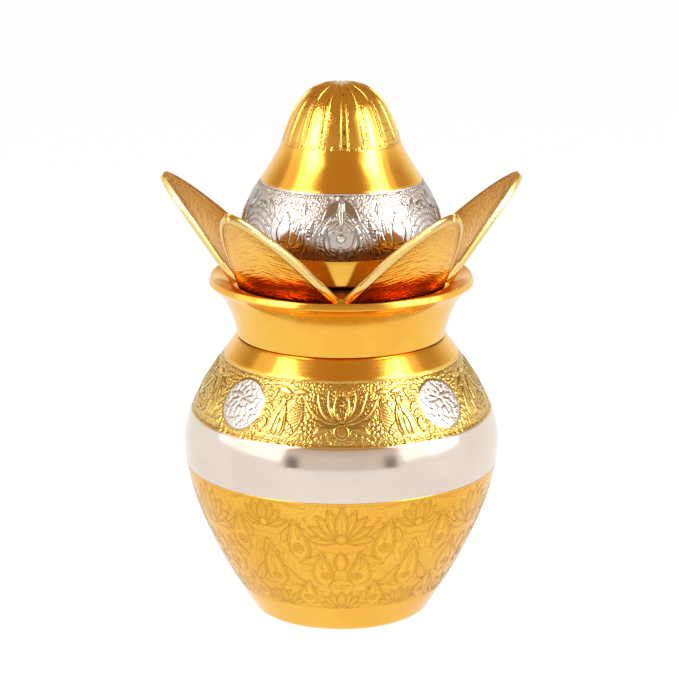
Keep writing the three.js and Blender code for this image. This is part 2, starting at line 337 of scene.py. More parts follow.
def turned(name: str, profile: Array, columns: int, poles: bool = False,
           fields: dict | None = None, crisp: bool = True) -> bpy.types.Object:
    """A solid turned round the pot's axis.

    Args:
        name: the piece's name.
        profile: rows of (radius, height), or one such row for each column. It runs so that
            the solid lies to its left, and closes on itself or, with poles, ends on the axis.
        columns: how many steps go round.
        poles: whether the profile starts and ends on the axis.
        fields: a value for each row and column, by name.
        crisp: whether sharp corners of the profile stay sharp.

    Returns:
        The new object.
    """
    if profile.ndim == 2:
        profile = spun(profile, columns)
    angle = FULL_TURN * np.arange(columns) / columns
    radius, height = profile[..., 0], profile[..., 1]
    places = np.stack([radius * np.sin(angle), -radius * np.cos(angle), height], axis=-1)
    piece = closed_grid(name, places, poles, fields)
    if crisp:
        crease(piece)
    return piece


def turned_ring(name: str, hole: float, radius: float, low: float, high: float,
                rounding: float, columns: int) -> bpy.types.Object:
    """A flat turned ring with rounded outer edges.

    Args:
        name: the piece's name.
        hole: radius of its hole.
        radius: its outer radius.
        low: height of its underside.
        high: height of its top.
        rounding: how far its outer edges are rounded.
        columns: how many steps go round.

    Returns:
        The new object.
    """
    corners = [(hole, low, 0), (radius, low, rounding), (radius, high, rounding), (hole, high, 0)]
    return turned(name, rounded(corners), columns)


def crisp_rings(piece: bpy.types.Object, columns: int, rows: tuple) -> None:
    """Marks whole rings of a solid without poles as sharp.

    Args:
        piece: the solid.
        columns: how many steps go round it.
        rows: which rows of its profile are sharp.
    """
    mesh = piece.data
    ends = np.empty(len(mesh.edges) * 2, np.int32)
    mesh.edges.foreach_get("vertices", ends)
    row = ends.reshape(-1, 2) // columns
    sharp = (row[:, 0] == row[:, 1]) & np.isin(row[:, 0], rows)
    attribute = mesh.attributes.new("sharp_edge", "BOOLEAN", "EDGE")
    attribute.data.foreach_set("value", sharp)


class Relief:
    """Chased ornament on a stretch of metal laid out flat.

    It holds a height in millimetres and the shares of matt punched ground, of silver and of
    painted shade at each place; the painted shade darkens its cut lines, punch dents and sunk
    ground. Motifs are stamped on it from back to front. The constants are millimetres and
    shares that all motifs have in common.
    """

    PETAL_POINT = 0.85
    EDGE_SLOPE = (-0.08, 0.10)
    DOME_REACH = 0.7
    RIM_SLOPE = 0.1
    # Share of a groove's depth by which sunk ground inside a rim is darkened as painted shade.
    GROUND_SHADE = 0.5
    HATCH_SLOPE = 0.15
    RIPPLE_STEP = 0.24
    RIPPLE_STRETCH = 1.3
    PAST_MIRROR = 50.0
    BLOWS = 128
    BLOW_SPREAD = 0.11
    # Share of a blow's depth by which punch dents are darkened as painted shade.
    BLOW_SHADE = 0.7

    def __init__(self, x: Array, y: Array, ground: float, groove: float, line: float) -> None:
        """Starts with matt ground all over.

        Args:
            x: places across, folded at the ornament's lines of symmetry.
            y: places along.
            ground: how deep the ground lies under the motifs.
            groove: depth of an engraved line.
            line: half width of an engraved line.
        """
        self.x, self.y = np.broadcast_arrays(x, y)
        self.ground, self.depth, self.line = ground, groove, line
        self.height = np.full(self.x.shape, -ground)
        self.matte = np.ones(self.x.shape)
        self.silver = np.zeros(self.x.shape)
        # Painted shade: how far each place is darkened where it is cut, punched or sunk.
        self.cut = np.zeros(self.x.shape)

    def petal(self, x: float, y: float, angle: float, length: float, width: float,
              fullness: float = 1.0, bend: float = 0.0) -> Array:
        """Distance to a pointed petal's outline, negative inside.

        Args:
            x: where its base is, across.
            y: where its base is, along.
            angle: the way it points, in degrees from the x axis.
            length: from base to tip.
            width: half of its widest.
            fullness: under 1 it is widest near its base.
            bend: how far its tip is turned aside, as a share of its length.

        Returns:
            The distances in millimetres.
        """
        cosine, sine = direction(angle)
        along = (self.x - x) * cosine + (self.y - y) * sine
        aside = (self.y - y) * cosine - (self.x - x) * sine
        share = np.clip(along / length, 0.0, 1.0)
        aside = np.abs(aside - bend * length * share**2)
        half = width * np.sin(math.pi * share**fullness) ** self.PETAL_POINT
        excess = np.maximum(np.maximum(-along, along - length), 0.0)
        return np.where(excess > 0, np.hypot(aside, excess), aside - half)

    def disc(self, x: float, y: float, radius: float, lobes: int = 0, depth: float = 0.2) -> Array:
        """Distance to a round outline, with lobes like a flower's where asked.

        Args:
            x: its middle, across.
            y: its middle, along.
            radius: its radius.
            lobes: how many lobes it has, or 0.
            depth: depth of the lobes, as a share of the radius.

        Returns:
            The distances in millimetres.
        """
        reach = np.hypot(self.x - x, self.y - y)
        turn = np.arctan2(self.y - y, self.x - x)
        wave = np.abs(np.cos(lobes * turn / 2)) if lobes else 1.0
        return reach - radius * (1.0 - depth + depth * wave)

    def stroke(self, points: list, steps: int) -> Array:
        """Distance to a curve through Bezier control points, cut into steps.

        Args:
            points: the control points.
            steps: how many stretches the curve is cut into.

        Returns:
            The distances in millimetres.
        """
        line = bezier(points, steps)
        best = np.full(self.x.shape, np.inf)
        for start, end in zip(line[:-1], line[1:]):
            run = end - start
            share = (self.x - start[0]) * run[0] + (self.y - start[1]) * run[1]
            share = np.clip(share / max(run @ run, 1e-9), 0.0, 1.0)
            best = np.minimum(best, np.hypot(self.x - start[0] - share * run[0],
                                             self.y - start[1] - share * run[1]))
        return best

    def paint_shade(self, depth: Array) -> None:
        """Paints shade into the metal where it is cut to a depth: the deeper, the darker."""
        self.cut = np.maximum(self.cut, np.minimum(depth / self.depth, 1.0))

    def groove(self, distance: Array, depth: float = 1.0, width: float = 1.0) -> None:
        """Cuts a line where a distance is near zero.

        Args:
            distance: distance to the line.
            depth: its depth, as a share of a groove's.
            width: its width, as a share of a groove's.
        """
        mask = np.exp(-(distance / (self.line * width)) ** 2)
        self.height = self.height - self.depth * depth * mask
        # Painted shade in the engraved line.
        self.paint_shade(mask * depth * self.depth)

    def rule(self, level: float, depth: float, width: float = 1.0) -> None:
        """Cuts a straight line all along the band."""
        self.groove(self.y - level, depth, width)

    def stamp(self, distance: Array, dome: float = 0.05, rim: float = 0.0, inner: float = 0.0) -> None:
        """Raises a smooth motif with an engraved outline.

        Args:
            distance: distance to its outline, negative inside.
            dome: how far its middle stands above its edge.
            rim: width of a smooth rim round matt ground, or 0 for a smooth motif.
            inner: where a second line follows the outline inside, or 0.
        """
        inside = smooth(-distance, *self.EDGE_SLOPE)
        level = dome * (1 - np.exp(np.minimum(distance, 0.0) / self.DOME_REACH))
        self.height = self.height * (1 - inside) + level * inside
        self.matte = self.matte * (1 - inside)
        self.cut = self.cut * (1 - inside)
        if rim:
            deep = smooth(-distance, rim - self.RIM_SLOPE, rim + self.RIM_SLOPE)
            self.height = self.height * (1 - deep) - self.ground * deep
            self.matte = np.maximum(self.matte, deep)
            # Painted shade on the sunk ground inside the rim.
            self.paint_shade(self.GROUND_SHADE * self.depth * deep)
        self.groove(distance)
        if inner:
            self.groove(distance + inner, 0.7)

    def petals(self, rows: tuple, fullness: float, **style: float) -> None:
        """Stamps petals from rows of x, y, angle, length, width and bend."""
        for x, y, angle, length, width, bend in rows:
            self.stamp(self.petal(x, y, angle, length, width, fullness, bend), **style)

    def hatch(self, distance: Array, across: Array, pitch: float, low: float, high: float,
              depth: float) -> None:
        """Cuts short parallel lines between two distances inside an outline.

        Args:
            distance: distance to the outline, negative inside.
            across: places counted across the lines.
            pitch: distance between lines.
            low: where the lines start, inward from the outline.
            high: where they end.
            depth: depth of the lines, as a share of a groove's.
        """
        band = plateau(-distance, low, low + self.HATCH_SLOPE, high - self.HATCH_SLOPE, high)
        wave = 0.5 + 0.5 * np.cos(FULL_TURN * across / pitch)
        self.height = self.height - self.depth * depth * band * wave**3
        # Painted shade in the hatched lines.
        self.paint_shade(self.depth * depth * band * wave**3)

    def flower(self, x: float, y: float, radius: float, lobes: int) -> None:
        """Stamps a small flower with a round heart.

        Args:
            x: its middle, across.
            y: its middle, along.
            radius: its radius.
            lobes: how many petals it has.
        """
        outline = self.disc(x, y, radius, lobes, 0.28)
        turn = np.arctan2(self.y - y, self.x - x)
        self.stamp(outline, 0.06)
        self.hatch(outline, turn + math.pi / lobes, FULL_TURN / lobes, 0.12, radius * 0.6, 0.9)
        self.stamp(self.disc(x, y, radius * 0.34), 0.1)

    def fan(self, x: float, y: float, angles: list, length: float, width: float, **style: float) -> None:
        """Stamps petals that spread from one point, the outer ones first.

        Args:
            x: the point, across.
            y: the point, along.
            angles: the ways that the petals point.
            length: length of a petal.
            width: half of a petal's widest.
            style: what the petals pass on to stamp.
        """
        upright = 90.0
        for angle in sorted(angles, key=lambda each: -abs(each - upright)):
            bend = 0.10 * math.copysign(min(1.0, abs(angle - upright) / 60), upright - angle)
            self.petals(((x, y, angle, length, width, bend),), 0.85, **style)
            self.groove(self.petal(x, y, angle, length * 0.72, 0.04, 1.0, bend), 0.6)

    def ripples(self, cell: float, depth: float, seed: int) -> None:
        """Fills the ground with fine lines that wander side by side.

        Args:
            cell: size of the swells that the lines run round.
            depth: depth of the lines, as a share of a groove's.
            seed: which of many patterns.
        """
        x = self.x + self.PAST_MIRROR
        swell = noise(x, self.y, cell, seed) + 0.3 * noise(x, self.y, cell / 2, seed + 1)
        lines = swell / self.RIPPLE_STEP
        gap = np.abs(lines - np.round(lines)) * self.RIPPLE_STEP * cell * self.RIPPLE_STRETCH
        self.groove(gap, depth)

    def stipple(self, pitch: float, depth: float, seed: int, smooth_share: float = 0.0) -> None:
        """Dents the ground with a round matting punch.

        Args:
            pitch: usual distance between blows.
            depth: depth of a blow.
            seed: which of many patterns.
            smooth_share: how far the smooth motifs are dented too.
        """
        column = np.floor(self.x / pitch).astype(int)
        row = np.floor(self.y / pitch).astype(int)
        across, along, force = np.random.default_rng(seed).random((3, self.BLOWS, self.BLOWS))
        dents = np.zeros(self.x.shape)
        for step_x in (-1, 0, 1):
            for step_y in (-1, 0, 1):
                cell = ((row + step_y) % self.BLOWS, (column + step_x) % self.BLOWS)
                gap_x = self.x / pitch - (column + step_x + 0.15 + 0.7 * across[cell])
                gap_y = self.y / pitch - (row + step_y + 0.15 + 0.7 * along[cell])
                blow = np.exp(-(gap_x**2 + gap_y**2) / self.BLOW_SPREAD)
                dents = np.maximum(dents, (0.5 + 0.5 * force[cell]) * blow)
        share = self.matte + smooth_share * (1 - self.matte)
        self.height = self.height - share * depth * dents
        # Painted shade in the punch dents.
        self.paint_shade(self.BLOW_SHADE * share * depth * dents)


@dataclass(frozen=True)
class Frieze:
    """How an ornamented band is laid out and cut.

    The reference is the radius at which a millimetre on the flat is one on the metal. The
    ground, groove and line are a Relief's, and the punch is a blow's depth and the pitch the
    distance between blows.
    """

    name: str
    low: float
    high: float
    rows: int
    columns: int
    repeats: int
    reference: float
    ground: float
    groove: float
    punch: float
    pitch: float
    line: float = 0.18
    brushed: float = 0.0
    wander: float = 0.44
    margin: float = 3.0
    ease: float = 0.5
    matt: float = 1.0
    # How strong the painted shade in the engraved lines is.
    cut_shade_share: float = 1.0
    # Share of lighter gold painted as highlight.
    painted_highlight: float = 0.0
    back_rows: int = 10

    def lay_out(self, outline: Array) -> tuple[Array, Array, float]:
        """Lays a turned outline out flat, true to shape at every height.

        Args:
            outline: the band's rows of radius and height.

        Returns:
            Folded places across, places along, and the band's height on the flat.
        """
        steps = np.linalg.norm(np.diff(outline, axis=0), axis=1)
        mean = (outline[1:, 0] + outline[:-1, 0]) / 2
        along = self.reference * np.concatenate([[0.0], np.cumsum(steps / mean)])
        around = FULL_TURN * self.reference
        x, y = np.meshgrid(around * np.arange(self.columns) / self.columns, along)

        def drift(seed: int) -> Array:
            """How far the hand that drew the ornament strays from its place."""
            return noise(x, y, 7.0, seed, around) + noise(x, y, 3.0, seed + 1, around) - 1.0

        top = along[-1]
        steady = plateau(y, 0.0, self.margin, top - self.margin, top)
        across = x + self.wander * drift(11)
        rise = y + self.wander * drift(13) * steady
        period = around / self.repeats
        return np.abs((across + period / 2) % period - period / 2), rise, top

    def build(self, outline: Array, wall: float,
              draw: Callable[[Relief, float], None]) -> bpy.types.Object:
        """Makes the band as a closed ring with its ornament in relief.

        Args:
            outline: the whole outer outline that the band is part of.
            wall: thickness of the metal.
            draw: a function that stamps the motifs on a Relief, given the band's height.

        Returns:
            The new object.
        """
        stretch = cut(outline, self.low, self.high)
        outer = even(stretch, self.rows)
        x, y, top = self.lay_out(outer)
        relief = Relief(x, y, self.ground, self.groove, self.line)
        draw(relief, top)
        relief.stipple(self.pitch, self.punch, 21, self.brushed)
        edge = plateau(y, 0.0, self.ease, top - self.ease, top)
        back = inset(even(stretch, self.back_rows), wall)[::-1]
        profile = np.concatenate([raised(outer, relief.height * edge), spun(back, self.columns)])
        # The fields carry matt ground, silver, the lighter gold painted as highlight and the painted shade.
        fields = {
            "matte": relief.matte * edge * self.matt,
            "silver": relief.silver,
            "painted_highlight": np.full(edge.shape, self.painted_highlight),
            "cut": relief.cut * edge * self.cut_shade_share,
        }
        fields = {key: np.pad(each, ((0, self.back_rows), (0, 0))) for key, each in fields.items()}
        piece = turned(self.name, profile, self.columns, fields=fields, crisp=False)
        crisp_rings(piece, self.columns, (0, self.rows - 1, self.rows, len(profile) - 1))
        return piece


def plain_band(name: str, outline: Array, low: float, high: float, wall: float,
               columns: int = 384, eased: float = 0.12) -> bpy.types.Object:
    """A smooth ring of a turned shell, with its ends eased so that a fine line shows there.

    Args:
        name: the piece's name.
        outline: the whole outer outline that the ring is part of.
        low: height where it starts.
        high: height where it ends.
        wall: thickness of the metal.
        columns: how many steps go round.
        eased: how far its ends fall back.

    Returns:
        The new object.
    """
    row_height, ease_length, inner_rows = 0.3, 0.18, 10
    stretch = cut(outline, low, high)
    outer = even(stretch, max(8, int(arc_lengths(stretch)[-1] / row_height)))
    along = arc_lengths(outer)
    fall = np.exp(-along / ease_length) + np.exp(-(along[-1] - along) / ease_length)
    outer = outer - (eased * fall)[:, None] * normals(outer)
    inner = inset(even(stretch, inner_rows), wall)[::-1]
    return turned(name, np.vstack([outer, inner]), columns)


@dataclass(frozen=True)
class Plating:
    """The colours of a plated metal, where 1 is the most that a surface gives back."""

    bright: tuple
    shade: tuple
    # Colour of the painted shade in engraved lines and on matt ground.
    painted_shade: tuple


GOLD = Plating((0.965, 0.550, 0.085, 1.0), (0.910, 0.460, 0.055, 1.0), (0.520, 0.215, 0.020, 1.0))
CHASED_GOLD = Plating((0.970, 0.540, 0.075, 1.0), (0.930, 0.480, 0.058, 1.0), (0.300, 0.095, 0.003, 1.0))
SILVER = Plating((0.820, 0.715, 0.620, 1.0), (0.770, 0.665, 0.570, 1.0), (0.270, 0.220, 0.185, 1.0))
# A lighter gold, painted as highlight on the upper frieze, the dome and the leaves' edges.
PAINTED_HIGHLIGHT_GOLD = Plating((0.910, 0.650, 0.190, 1.0), (0.860, 0.580, 0.150, 1.0), (0.280, 0.120, 0.015, 1.0))
CHASED_SILVER = Plating((0.850, 0.800, 0.760, 1.0), (0.800, 0.745, 0.700, 1.0),
                        (0.050, 0.044, 0.040, 1.0))
BRASS = Plating((0.640, 0.430, 0.150, 1.0), (0.500, 0.310, 0.100, 1.0), (0.240, 0.140, 0.050, 1.0))


class Graph:
    """A short way to write down shader nodes and their links."""

    def __init__(self, tree: bpy.types.NodeTree) -> None:
        """Keeps the tree that the nodes go into."""
        self.tree = tree

    @classmethod
    def fresh(cls, owner: bpy.types.Material | bpy.types.World) -> "Graph":
        """Empties the nodes of a material or a world and starts on them.

        Args:
            owner: the material or the world.

        Returns:
            The graph of its nodes.
        """
        owner.use_nodes = True
        owner.node_tree.nodes.clear()
        return cls(owner.node_tree)

    def add(self, kind: str, inputs: dict | None = None, **settings: object) -> bpy.types.Node:
        """Adds a node.

        Args:
            kind: the node's type.
            inputs: sockets to link or values to set, by name or number.
            settings: what else to set on the node.

        Returns:
            The new node.
        """
        node = self.tree.nodes.new(kind)
        for key, value in settings.items():
            setattr(node, key, value)
        for key, value in (inputs or {}).items():
            self.join(node.inputs[key], value)
        return node

    def join(self, socket: Socket, value: object) -> None:
        """Links a socket to another one, or sets its value."""
        if isinstance(value, Socket):
            self.tree.links.new(value, socket)
        else:
            socket.default_value = value

    def work_out(self, operation: str, first: Number, second: Number = 0.0) -> Socket:
        """A calculation on one or two numbers."""
        return self.add("ShaderNodeMath", {0: first, 1: second}, operation=operation).outputs[0]

    def total(self, first: Number, second: Number) -> Socket:
        """One number added to another."""
        return self.work_out("ADD", first, second)

    def product(self, first: Number, second: Number) -> Socket:
        """One number times another."""
        return self.work_out("MULTIPLY", first, second)

    def larger(self, first: Number, second: Number) -> Socket:
        """The larger of two numbers."""
        return self.work_out("MAXIMUM", first, second)

    def between(self, value: Number, low: float, high: float, start: float = 0.0,
                end: float = 1.0) -> Socket:
        """A number carried from one range to another and kept within it."""
        inputs = {"Value": value, "From Min": low, "From Max": high, "To Min": start, "To Max": end}
        return self.add("ShaderNodeMapRange", inputs).outputs["Result"]

    def mix(self, share: Number, first: tuple | Socket, second: tuple | Socket) -> Socket:
        """A colour between two others.

        Args:
            share: 0 for the first colour, 1 for the second.
            first: one colour.
            second: the other colour.

        Returns:
            The mixed colour.
        """
        node = self.add("ShaderNodeMix", data_type="RGBA")
        for name, value in {"Factor": share, "A": first, "B": second}.items():
            sockets = [each for each in node.inputs if each.name == name and each.enabled]
            self.join(sockets[0], value)
        return [each for each in node.outputs if each.enabled][0]

    def place(self, kind: str = "Object") -> Socket:
        """Where a point of the surface or the sky is."""
        return self.add("ShaderNodeTexCoord").outputs[kind]

    def parts(self, vector: Socket) -> bpy.types.NodeOutputs:
        """The three numbers of a vector."""
        return self.add("ShaderNodeSeparateXYZ", {0: vector}).outputs

    def attribute(self, name: str) -> Socket:
        """A value that the mesh holds at each of its points."""
        return self.add("ShaderNodeAttribute", attribute_name=name).outputs["Fac"]

    def clouds(self, vector: Socket, scale: Number, detail: float, roughness: float) -> Socket:
        """Soft noise, about a half on average."""
        inputs = {"Vector": vector, "Scale": scale, "Detail": detail, "Roughness": roughness}
        return self.add("ShaderNodeTexNoise", inputs).outputs["Fac"]


def effect(name: str, inputs: dict, outputs: list, wire: Callable) -> bpy.types.NodeTree:
    """A shader node group for an effect that several finishes share.

    Args:
        name: the effect's name.
        inputs: its number sockets, with their usual values.
        outputs: the names of the numbers that it gives out.
        wire: a function that takes the graph and the input sockets and returns the outputs.

    Returns:
        The node group.
    """
    group = bpy.data.node_groups.new(name, "ShaderNodeTree")
    for socket, usual in inputs.items():
        made = group.interface.new_socket(socket, in_out="INPUT", socket_type="NodeSocketFloat")
        made.default_value = usual
    for socket in outputs:
        group.interface.new_socket(socket, in_out="OUTPUT", socket_type="NodeSocketFloat")
    graph = Graph(group)
    entry = graph.add("NodeGroupInput")
    graph.add("NodeGroupOutput", dict(zip(outputs, wire(graph, entry.outputs))))
    return group


def wire_punch_marks(graph: Graph, given: bpy.types.NodeOutputs) -> list:
    """Small dents that a matting punch leaves, as a height and a mask of their rims.

    Args:
        graph: the group's nodes.
        given: the group's input sockets.

    Returns:
        The height and the mask.
    """
    place, scale = graph.place(), given["Marks per metre"]
    cells = graph.add("ShaderNodeTexVoronoi", {"Vector": place, "Scale": scale}, feature="SMOOTH_F1")
    grain = graph.clouds(place, scale, 2.0, 0.6)
    dent = graph.between(cells.outputs["Distance"], 0.15, 0.75)
    height = graph.total(graph.product(dent, 0.7), graph.product(grain, 0.6))
    return [height, graph.between(height, 0.45, 0.95)]


def wire_turning_marks(graph: Graph, given: bpy.types.NodeOutputs) -> list:
    """Fine rings that polishing on a lathe leaves.

    Args:
        graph: the group's nodes.
        given: the group's input sockets.

    Returns:
        The rings' height, alone in a list.
    """
    x, y, z = graph.parts(graph.place())
    squares = graph.total(graph.product(x, x), graph.product(y, y))
    ring = graph.total(z, graph.product(graph.work_out("SQRT", squares), 0.8))
    vector = graph.add("ShaderNodeCombineXYZ", {
        "X": graph.product(x, 14.0),
        "Y": graph.product(y, 14.0),
        "Z": graph.product(ring, given["Rings per metre"]),
    })
    return [graph.between(graph.clouds(vector.outputs[0], 1.0, 3.0, 0.65), 0.25, 0.75)]


def wire_handling(graph: Graph, given: bpy.types.NodeOutputs) -> list:
    """Soft patches where plating is a little duller, and gentle waves in the metal.

    Args:
        graph: the group's nodes.
        given: the group's input sockets.

    Returns:
        The patches and the waves.
    """
    place = graph.place()
    patches = graph.clouds(place, given["Patches per metre"], 4.0, 0.55)
    waves = graph.clouds(place, given["Waves per metre"], 1.0, 0.4)
    return [graph.between(patches, 0.35, 0.68), waves]


class Effects:
    """The node groups that the finishes share, each made once."""

    def __init__(self) -> None:
        """Makes the groups."""
        self.punch = effect("punch_marks", {"Marks per metre": 2600.0}, ["Height", "Rims"],
                            wire_punch_marks)
        self.turning = effect("turning_marks", {"Rings per metre": 5200.0}, ["Rings"],
                              wire_turning_marks)
        self.handling = effect("handling", {"Patches per metre": 55.0, "Waves per metre": 260.0},
                               ["Dull", "Waves"], wire_handling)

    def place(self, graph: Graph, group: bpy.types.NodeTree, values: dict) -> bpy.types.NodeOutputs:
        """Puts a group into a material with its own values, and gives back its outputs."""
        return graph.add("ShaderNodeGroup", values, node_tree=group).outputs


@dataclass(frozen=True)
class MetalFinish:
    """A plated or bare metal surface.

    The roughness goes up to dull in patches. Rings and waves are the heights of turning marks
    and of unevenness. On a chased finish, the matt ground is rougher by matte, its punch marks
    are as high as punch, and its colour is darkened by shaded as painted shade. Inlays are
    platings that a field of the mesh brings in: a lighter gold painted as highlight, and silver,
    real on the bosses and painted as highlight on the leaves' edges.
    """

    name: str
    metal: Plating
    roughness: float
    dull: float
    rings: float = 0.0
    waves: float = 0.0
    matte: float = 0.0
    punch: float = 0.0
    # How far the matt ground is darkened as painted shade.
    shaded: float = 0.0
    inlays: dict = field(default_factory=dict)
    marks: float = 2000.0
    ring_sheen: tuple = (-0.02, 0.03)
    rim_sheen: float = 0.02
    # How far engraved lines are darkened as painted shade.
    cut_shade_strength: float = 0.85

    def build(self, effects: Effects) -> bpy.types.Material:
        """Makes the material.

        Args:
            effects: the shared node groups.

        Returns:
            The material.
        """
        material = bpy.data.materials.new(self.name)
        graph = Graph.fresh(material)
        dull, waves = effects.place(graph, effects.handling, {})
        rings = effects.place(graph, effects.turning, {})[0]
        colour = self.colour(graph, self.metal, dull)
        for name, plating in self.inlays.items():
            colour = graph.mix(graph.attribute(name), colour, self.colour(graph, plating, dull))
        rough = graph.total(graph.between(dull, 0.0, 1.0, self.roughness, self.dull),
                            graph.between(rings, 0.0, 1.0, *self.ring_sheen))
        height = graph.total(graph.product(rings, self.rings), graph.product(waves, self.waves))
        if self.punch:
            marks, rims = effects.place(graph, effects.punch, {"Marks per metre": self.marks})
            ground = graph.attribute("matte")
            height = graph.total(height, graph.product(graph.product(marks, self.punch), ground))
            sheen = graph.between(rims, 0.0, 1.0, self.matte, self.rim_sheen)
            rough = graph.total(rough, graph.product(ground, sheen))
        bump = graph.add("ShaderNodeBump", {"Strength": 1.0, "Distance": MM, "Height": height})
        surface = graph.add("ShaderNodeBsdfPrincipled", {
            "Base Color": colour,
            "Roughness": rough,
            "Metallic": 1.0,
            "Normal": bump.outputs["Normal"],
        })
        graph.add("ShaderNodeOutputMaterial", {"Surface": surface.outputs["BSDF"]})
        return material

    def colour(self, graph: Graph, metal: Plating, dull: Socket) -> Socket:
        """The metal's colour.

        Args:
            graph: the material's nodes.
            metal: the plating.
            dull: where the plating is duller.

        Returns:
            The colour, duller in patches, and darker where the metal is engraved and on the matt ground, as
            painted shade.
        """
        plain = graph.mix(dull, metal.bright, metal.shade)
        if not self.punch:
            return plain
        # Painted shade in engraved lines and on the matt ground.
        painted_cut_shade = graph.between(graph.attribute("cut"), 0.0, 1.0, 0.0, self.cut_shade_strength)
        ground = graph.product(graph.attribute("matte"), self.shaded)
        return graph.mix(graph.larger(painted_cut_shade, ground), plain, metal.painted_shade)


@dataclass(frozen=True)
class Finishes:
    """The materials of the whole object, by slot."""

    materials: dict

    @classmethod
    def make(cls) -> "Finishes":
        """Makes every finish once.

        Returns:
            The finishes, ready to dress pieces with.
        """
        effects = Effects()
        # Inlays: a lighter gold painted as highlight, and silver, real on the bosses and painted as
        # highlight on the leaves' edges.
        inlays = {"painted_highlight": PAINTED_HIGHLIGHT_GOLD, "silver": CHASED_SILVER}
        finishes = {
            Slot.GOLD_PLATE: MetalFinish(
                "polished gold plate", GOLD, 0.13, 0.19, rings=0.0006, waves=0.012),
            Slot.GOLD_ENGRAVED: MetalFinish(
                "chased gold plate", CHASED_GOLD, 0.13, 0.19, matte=0.06, punch=0.09, shaded=0.14,
                inlays=inlays),
            Slot.SILVER_PLATE: MetalFinish(
                "polished silver plate", SILVER, 0.10, 0.15, rings=0.0006, waves=0.02),
            Slot.SILVER_ENGRAVED: MetalFinish(
                "chased silver plate", CHASED_SILVER, 0.15, 0.20, matte=0.26, punch=0.12, shaded=0.28),
            Slot.BARE_BRASS: MetalFinish(
                "turned brass", BRASS, 0.28, 0.42, rings=0.003, waves=0.01),
        }
        return cls({slot: finish.build(effects) for slot, finish in finishes.items()})

    def dress(self, piece: bpy.types.Object, slot: Slot, body: Body, *nodes: str) -> None:
        """Gives a piece its finish, its body and the nodes that it stands for.

        Args:
            piece: the visible piece.
            slot: the finish that it takes.
            body: the body that it rides on.
            nodes: the nodes that it replaces.
        """
        piece.data.materials.clear()
        piece.data.materials.append(self.materials[slot])
        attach(piece, body.value)
        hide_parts(*nodes)
        LOG.info("%s: %d faces on %s", piece.name, len(piece.data.polygons), body.value)


@dataclass(frozen=True)
class Medallion:
    """A round silver boss with a lotus rosette of two rings of petals."""

    x: float
    y: float
    radius: float = 7.9
    rim: float = 1.0
    sink: float = 0.05
    heart: float = 1.3
    # How much of the painted shade is taken away inside the boss.
    shade_lift: float = 0.5

    def stamp(self, relief: Relief) -> None:
        """Stamps the boss.

        Args:
            relief: the laid out band, folded at the boss's middle.
        """
        disc = relief.disc(self.x, self.y, self.radius)
        relief.stamp(disc, dome=0.0)
        relief.silver = np.maximum(relief.silver, smooth(-disc, 0.25, 0.45))
        inside = smooth(-disc, self.rim - 0.1, self.rim + 0.1)
        relief.height = relief.height * (1 - inside) - self.sink * inside
        relief.matte = np.maximum(relief.matte, inside)
        for turn in range(90, 271, 36):
            relief.petals(((self.x, self.y, turn, 6.6, 1.8, 0.0),), 0.75, inner=0.55)
            relief.groove(relief.petal(self.x, self.y, turn, 4.4, 0.04), 0.9)
        for turn in range(108, 253, 36):
            relief.petals(((self.x, self.y, turn, 5.2, 1.3, 0.0),), 0.75, dome=0.06, inner=0.5)
        relief.stamp(relief.disc(self.x, self.y, self.heart), 0.1)
        relief.groove(disc + 0.45, 0.8)
        # Less painted shade inside the boss.
        relief.cut = relief.cut * (1 - self.shade_lift * inside)


def shoulder_sprigs(relief: Relief, medallion: Medallion) -> None:
    """Stamps the loose leaves between the lotus and the medallion, and those round it.

    Args:
        relief: the laid out band.
        medallion: the boss that the leaves grow round.
    """
    relief.petals(((15.0, 15.2, 8, 7.5, 1.1, 0.15), (15.0, 14.2, -28, 5.5, 1.1, 0.15),
                   (15.0, 15.6, 172, 5.0, 1.1, 0.15)), 0.8)
    for x, angle in ((21.6, 60), (22.0, 100), (21.4, -62), (22.6, -100)):
        y = medallion.y + math.copysign(1.6, angle)
        relief.petals(((x, y, angle, 5.6, 1.0, 0.2),), 0.9)
    for turn in range(118, 250, 13):
        x, y = direction(turn) * (medallion.radius + 0.4)
        relief.petals(((medallion.x + x, medallion.y + y, turn + 24, 3.4, 0.7, 0.25),), 0.9)


def shoulder_lotus(relief: Relief) -> None:
    """Stamps the open lotus, from its lowest petals to its bud.

    Args:
        relief: the laid out band, folded at the lotus's middle.
    """
    relief.petals(((1.2, 6.3, -14, 9.0, 1.2, -0.22), (1.2, 6.3, 2, 8.0, 1.0, 0.12)), 0.9, inner=0.5)
    relief.petals(((0.2, 6.8, 24, 12.6, 2.3, 0.10), (0.2, 6.8, 46, 11.6, 2.4, 0.08)), 0.85, rim=0.75)
    relief.petals(((0.2, 6.8, 68, 11.0, 2.1, 0.05),), 0.85, rim=0.7)
    relief.petals(((0.0, 6.6, 90, 10.4, 2.6, 0.0),), 0.85, rim=0.75)
    relief.groove(relief.petal(0.0, 6.6, 90, 6.6, 0.9, 0.85), 0.8)
    relief.stamp(relief.disc(0.0, 4.2, 2.2), 0.06, inner=0.8)


def shoulder_drops(relief: Relief) -> None:
    """Stamps the small flower, the hatched leaves and the tall drops beside the lotus.

    Args:
        relief: the laid out band.
    """
    relief.flower(9.6, 4.9, 2.4, 8)
    for x, angle, length, width in ((13.6, 103, 11.0, 2.0), (12.9, 52, 6.0, 1.1)):
        leaf = relief.petal(x, 2.9, angle, length, width, 0.8, -0.08)
        relief.stamp(leaf)
        relief.hatch(leaf, relief.y + 0.5 * relief.x, 0.95, 0.45, 3.0, 0.9)
    relief.petals(((17.0, 2.4, 90, 12.4, 1.75, -0.06), (20.0, 2.4, 100, 12.4, 1.75, 0.12)), 0.62,
                  dome=0.12, inner=0.65)
    relief.petals(((18.4, 2.4, 94, 6.0, 0.8, 0.0),), 0.7)


